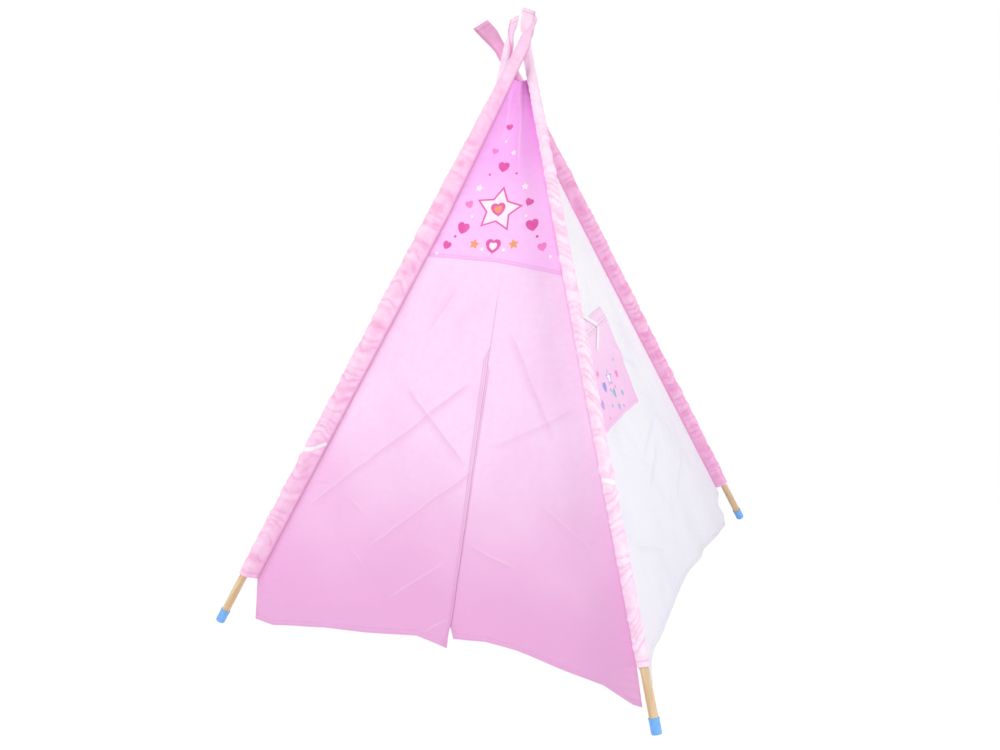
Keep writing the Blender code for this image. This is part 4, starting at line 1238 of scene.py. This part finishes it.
for pole in poles:
    sleeve, sleeve_flat = make_sleeve(pole, CASING)


def sewn_half(name, wall, side, limits, low, look, slot, stands_for, **shape):
    """One half of a wall from its lower edge to the top, sewn to the casing on its side."""
    pole = wall.poles[side]
    half = wall_sheet(name, wall, *limits, low, WALL_TOP, look, **shape)
    finish_cloth(half, f"pole_{pole.name}", pole, wall, stands_for)


def band_line(share):
    """The panel's lower edge, sewn a little lower on the right."""
    return BAND_HEIGHT + np.interp(share, (0.0, 0.55, 1.0), (0.009, 0.002, -0.020))


def panel_middle(height):
    """The line where the printed panel's two halves meet, from the slit's top to the middle of the apex."""
    top = (height - BAND_HEIGHT) / (WALL_TOP - BAND_HEIGHT)
    start = front.share_at(SLIT_TOP_X, np.full_like(height, BAND_HEIGHT))
    return start + (0.5 - start) * top


for name, side, limits, stands_for in (
    ("upper_panel_left_half", 0, (0.0, panel_middle), ("front_upper_panel",)),
    ("upper_panel_right_half", 1, (panel_middle, 1.0), ()),
):
    sewn_half(name, front, side, limits, band_line, PANEL_CLOTH, "upper_pink_cloth", stands_for, hem_marks=False)


def slit_place(height, side):
    """Where the slit's edge stands along the wall: closed down to the knee-high point, then spreading."""
    down = (BAND_HEIGHT - height) / (BAND_HEIGHT - SLIT_FOOT_HEIGHT)
    middle = SLIT_TOP_X + (SLIT_FOOT_X - SLIT_TOP_X) * down
    opened = np.clip((SLIT_OPENS_AT - height) / (SLIT_OPENS_AT - SLIT_OPEN_FOOT), 0, 1.3) ** 1.6
    return middle + SLIT_CLOSED[side] * (1 - np.clip(opened * 3, 0, 1)) + opened * SLIT_SPREAD * (0.0, 1.0)[side]


def mark_values(made, name):
    values = np.zeros(len(made.data.vertices), np.float32)
    made.data.attributes[name].data.foreach_get("value", values)
    return values


def mark_slit(panel, flap, side):
    """Marks how far the flap's cloth is from the slit, and takes the stitches off the flap's narrow top."""
    sides = {name: mark_values(flap, name) for name in ("from_left", "from_right")}
    width = sides["from_left"] + sides["from_right"]
    narrow = np.clip((STITCHED_FROM - width) / STITCHED_RANGE, 0, 1).astype(np.float32)
    for name, values in sides.items():
        flap.data.attributes[name].data.foreach_set("value", values + STITCHES_AWAY * narrow)
    near_slit = mark_values(flap, ("from_right", "from_left")[side])
    for made, values in ((panel, np.ones(len(panel.data.vertices), np.float32)), (flap, near_slit)):
        made.data.attributes.new("from_slit", "FLOAT", "POINT").data.foreach_set("value", values)


for side, pole in ((0, front_left), (1, front_right)):
    fold_foot = (FOLD_FOOT_SHARE, 1 - FOLD_FOOT_SHARE)[side]
    part = ("left", "right")[side]
    top_share = float(front.share_at(np.float64(SLIT_TOP_X), np.float64(BAND_HEIGHT)))
    band = float(band_line(top_share)) - SEAM_CLEARANCE
    foot_height = float(front.hem_height(np.array([fold_foot]))[0])

    def fold_share(height, foot=fold_foot, low=foot_height, top=top_share, high=band):
        return top + (foot - top) * (high - height) / (high - low)

    def slit_share(height, which=side):
        return front.share_at(slit_place(height, which), height)

    def lapped(share, height, points, which=side, edge=slit_share):
        """The left edge laps a little over the right one."""
        near = np.clip(1 - np.abs(share - edge(height)) / LAP_SHARE, 0, 1) ** 2
        down = np.clip((BAND_HEIGHT - height) / LAP_RISE, 0, 1)
        return near * down * (LAP_HEIGHT, -LAP_HEIGHT)[which]

    limits = (0.0, fold_share) if side == 0 else (fold_share, 1.0)
    panel = wall_sheet(
        f"door_panel_cloth_{part}", front, *limits, front.hem_height, lambda share: band_line(share) - SEAM_CLEARANCE,
        DOOR_CLOTH, lift=lapped, fineness=0.9,
    )
    limits = (fold_share, slit_share) if side == 0 else (slit_share, fold_share)
    flap = wall_sheet(
        f"door_flap_cloth_{part}", front, *limits, front.hem_height, band - FLAP_TOP_CUT, DOOR_CLOTH, lift=lapped
    )
    mark_slit(panel, flap, side)
    finish_cloth(
        panel, f"pole_{pole.name}", pole, front, (f"door_{part}_panel",),
    )
    finish_cloth(
        flap, f"door_{part}_flap", pole, front, (f"door_{part}_flap",),
    )

# The plain walls: two halves each, joined to their own poles
for name, wall, look, slot in (
    ("left_wall", left, WHITE_CLOTH, "white_cloth"),
    ("back_wall", back, BACK_CLOTH, "door_pink_cloth"),
):
    sewn_half(f"{name}_left_half", wall, 0, (0.0, 0.5), wall.hem_height, look, slot, (name,))
    sewn_half(f"{name}_right_half", wall, 1, (0.5, 1.0), wall.hem_height, look, slot, ())


def window_part_share(height):
    """The line where the right wall's two halves meet, behind the window."""
    return 0.5 + 0.24 * np.clip((height - 0.02) / 0.6, 0, 1) * np.clip((WALL_TOP - height) / 0.55, 0, 1)


def around_window(share, height):
    """The cells of the right wall's grid that lie outside the window."""
    middle_share = (share[:-1, :-1] + share[1:, 1:]) / 2
    middle_height = (height[:-1, :-1] + height[1:, 1:]) / 2
    place = right.place(right.chord(middle_share, middle_height))
    inside = (place > WINDOW_FRONT) & (place < WINDOW_BACK)
    return ~(inside & (middle_height > WINDOW_LOW) & (middle_height < WINDOW_HIGH))


for name, side, limits, stands_for, keep in (
    ("right_wall_window_half", 0, (0.0, window_part_share), ("right_wall",), around_window),
    ("right_wall_back_half", 1, (window_part_share, 1.0), (), None),
):
    sewn_half(name, right, side, limits, right.hem_height, WHITE_CLOTH, "white_cloth", stands_for, keep=keep)


def share_of(place):
    return lambda height: right.share_at(np.full_like(height, place), height)


def cover_hang(share, height, points):
    """How far the window cover hangs off the wall, with shallow waves."""
    hang = np.clip((COVER_HIGH - height) / (COVER_HIGH - COVER_LOW), 0, 1)
    place = right.place(points)
    free = 0.25 + 0.75 * eased((place - COVER_FRONT) / 0.12)
    waves = 0.0016 * np.sin(place * 52 + 1.2) * hang + 0.0010 * np.sin(place * 21 + height * 30)
    return CLOTH + 0.0006 + (0.0042 * hang + waves * hang) * free


def cover_low(share):
    """The cover's lower edge, drooping to its back corner."""
    back_share = float(right.share_at(np.float64(COVER_BACK), np.float64(COVER_LOW)))
    front_share = float(right.share_at(np.float64(COVER_FRONT), np.float64(COVER_LOW)))
    return COVER_LOW - COVER_DROOP * np.clip((share - front_share) / (back_share - front_share), 0, 1) ** 2.2


def header_back_share(height):
    """The back edge of the band over the window, leaning forward as it rises."""
    place = HEADER_BACK - HEADER_LEAN * (np.asarray(height) - COVER_HIGH)
    return right.share_at(place, height)


def cover_front_share(height):
    """The cover's front edge leans after the pole beside it."""
    place = COVER_FRONT - COVER_FRONT_LEAN * (COVER_HIGH - np.asarray(height))
    return right.share_at(place, height)


cover = wall_sheet(
    "window_cover_cloth", right, cover_front_share, share_of(COVER_BACK), cover_low, COVER_HIGH, COVER_CLOTH,
    lift=cover_hang, fineness=1.6,
)
finish_cloth(cover, "window_cover", front_right, right, ("window_cover",))
header = wall_sheet(
    "window_band_cloth", right, share_of(HEADER_FRONT), header_back_share, COVER_HIGH + 0.0015, HEADER_HIGH,
    COVER_CLOTH, hem_marks=False, lift=lambda share, height, points: np.full(share.shape, HEADER_LIFT),
    fineness=1.6,
)
finish_cloth(
    header, "pole_front_right", front_right, right, ("window_header",)
)


def on_right_wall(corners, lift, steps=60):
    """A smoothed path over points given as (place, height) on the right wall, lifted off the cloth under it."""
    corners = np.array(corners)
    lengths = np.concatenate(((0.0,), np.cumsum(np.linalg.norm(np.diff(corners, axis=0), axis=1))))
    at = np.linspace(0, lengths[-1], steps)
    places, heights = (np.interp(at, lengths, corners[:, column]) for column in (0, 1))
    window = np.hanning(25) / np.hanning(25).sum()
    places, heights = (
        np.convolve(np.pad(line, 12, mode="reflect", reflect_type="odd"), window, "valid") for line in (places, heights)
    )
    shares = right.share_at(places, heights)
    points = right.surface(shares, heights)
    under = lift(shares, heights, points) if callable(lift) else lift
    return points + right.normal * np.broadcast_to(under, shares.shape)[:, None]


def wall_ribbon(name, corners, lift, width, body, node):
    """A ribbon lying on the right wall, joined to its body; the CAD part it stands for is hidden."""
    path = on_right_wall(corners, lift)
    strip, strip_length = ribbon(name, path, unit(np.cross(unit(np.gradient(path, axis=0)), right.normal)), width)
    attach(strip, body)
    fold_with(strip, front_right, right)
    if node:
        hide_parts(node)


def ribbon_on_cover(share, height, points):
    return cover_hang(share, height, points) + CLOTH / 2 + RIBBON / 2 + 0.0012


wall_ribbon(
    "window_ribbon_on_band", RIBBON_OVER_BAND, CLOTH * 1.5 + 0.0024, TIE_WIDTH, "pole_front_right", None,
)
wall_ribbon("window_ribbon", RIBBON_DOWN, ribbon_on_cover, TIE_WIDTH, "window_cover", "window_tie")


def tie_band(pole):
    """The ribbon round a casing, lying on its pinched cloth: its path and the way its width runs."""
    plain = outline(SLEEVE_RADIUS, pole.seam_reach, SEAM_HALF)
    distances = pole.tie + pole.tie_shift(plain)
    count = len(plain)
    order = np.roll(np.arange(count), -SEAM_INDEX)
    path, outwards = [], []
    for index in order[plain[order, 0] < pole.seam_reach - 0.004]:
        section, _ = sleeve_outline(pole, distances[index])
        ahead = section[(index + 1) % count] - section[index - 1]
        outward = unit(np.array((-ahead[1], ahead[0])))
        point = section[index] + outward * (RIBBON / 2 + 0.0007)
        centre = pole.at(np.float64(distances[index]))
        path.append(centre + point[0] * pole.into + point[1] * pole.across)
        outwards.append(outward[0] * pole.into + outward[1] * pole.across)
    return np.array(path), np.array(outwards)


for pole in (front_left, front_right):
    path, outwards = tie_band(pole)
    sideways = unit(np.cross(outwards, np.gradient(path, axis=0)))
    band, band_length = ribbon(f"door_ribbon_{pole.name}", path, sideways, TIE_WIDTH)
    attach(band, f"pole_{pole.name}")
    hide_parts(f"door_tie_{pole.name}")

wall_ribbon("door_ribbon_tail", RIBBON_TAIL, TAIL_LIFT, TAIL_WIDTH, "pole_front_right", None)

# The wooden poles, connectors and caps keep their CAD solids and take their finish here
rubber, grey = rubber_material(), grey_material()
for pole in poles:
    pine = wood_material(pole)
    finishes = (
        (pine, "wood", (f"pole_lower_{pole.name}", f"pole_middle_{pole.name}", f"pole_upper_{pole.name}")),
        (rubber, "blue_rubber", (f"foot_cap_{pole.name}",)),
        (grey, "grey_plastic", (f"connector_lower_{pole.name}", f"connector_upper_{pole.name}")),
    )
    for look, slot, names in finishes:
        for node_name in names:
            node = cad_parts[node_name]
            node.data.materials.clear()
            node.data.materials.append(look)


def white_floor():
    """A plain floor that the camera sees as nearly white."""
    mesh = bpy.data.meshes.new("studio floor")
    mesh.from_pydata([(-30, -30, 0), (30, -30, 0), (30, 30, 0), (-30, 30, 0)], [], [(0, 1, 2, 3)])
    floor = placed("studio floor", mesh)
    made, nodes, shader = new_material("white floor")
    tone = nodes.mix(nodes.noise(nodes.place(), 0.8, 2.0), (0.86, 0.86, 0.86, 1.0), (0.90, 0.90, 0.90, 1.0))
    nodes.dress(shader, tone, 0.9)
    glow = nodes.add("ShaderNodeEmission", {"Color": WHITE, "Strength": 1.03})
    share = nodes.times(nodes.add("ShaderNodeLightPath").outputs["Is Camera Ray"], 0.95)
    mixed = nodes.add("ShaderNodeMixShader", {0: share, 1: shader.outputs[0], 2: glow.outputs[0]})
    nodes.feed(made.node_tree.nodes["Material Output"].inputs["Surface"], mixed.outputs[0])
    mesh.materials.append(made)


def area_light(name, place, target, size, power):
    lamp = bpy.data.lights.new(name, "AREA")
    lamp.shape = "DISK"
    lamp.size = size
    lamp.energy = power
    made = placed(name, lamp)
    made.location = place
    made.rotation_euler = (Vector(target) - Vector(place)).to_track_quat("-Z", "Y").to_euler()


def light_through_cloth():
    """Thin cloth lets daylight through: a weak lamp stands for it inside the tent."""
    lamp = bpy.data.lights.new("light through the cloth", "POINT")
    lamp.energy = INSIDE_POWER
    lamp.shadow_soft_size = 0.20
    made = placed("light through the cloth", lamp)
    made.location = (0.0, 0.0, 0.60)


def white_surroundings():
    """Soft light from all round, behind a background that the camera sees as plain white."""
    world = bpy.data.worlds.new("white room")
    world.use_nodes = True
    nodes = Nodes(world.node_tree)
    light = world.node_tree.nodes["Background"]
    light.inputs["Color"].default_value = WHITE
    light.inputs["Strength"].default_value = ROOM_LIGHT
    seen = nodes.add("ShaderNodeBackground", {"Color": WHITE, "Strength": 1.0})
    camera_ray = nodes.add("ShaderNodeLightPath").outputs["Is Camera Ray"]
    mixed = nodes.add("ShaderNodeMixShader", {0: camera_ray, 1: light.outputs[0], 2: seen.outputs[0]})
    nodes.feed(world.node_tree.nodes["World Output"].inputs["Surface"], mixed.outputs[0])
    bpy.context.scene.world = world


white_floor()
white_surroundings()
area_light("key light", (-2.2, -3.4, 3.2), (0.0, 0.0, 0.6), 2.2, KEY_POWER)
area_light("right light", (3.4, -0.6, 1.9), (0.2, 0.0, 0.6), 1.6, RIGHT_POWER)
area_light("back light", (-2.2, 3.4, 2.6), (0.0, 0.0, 0.6), 2.0, BACK_POWER)
light_through_cloth()

camera_data = bpy.data.cameras.new("camera")
camera_data.lens = CAMERA_LENS
camera_data.sensor_width = 36.0
camera = placed("camera", camera_data)
camera.location = CAMERA_PLACE
camera.rotation_euler = [math.radians(angle) for angle in CAMERA_TURN]
bpy.context.scene.camera = camera
bpy.context.scene.view_settings.view_transform = "Standard"
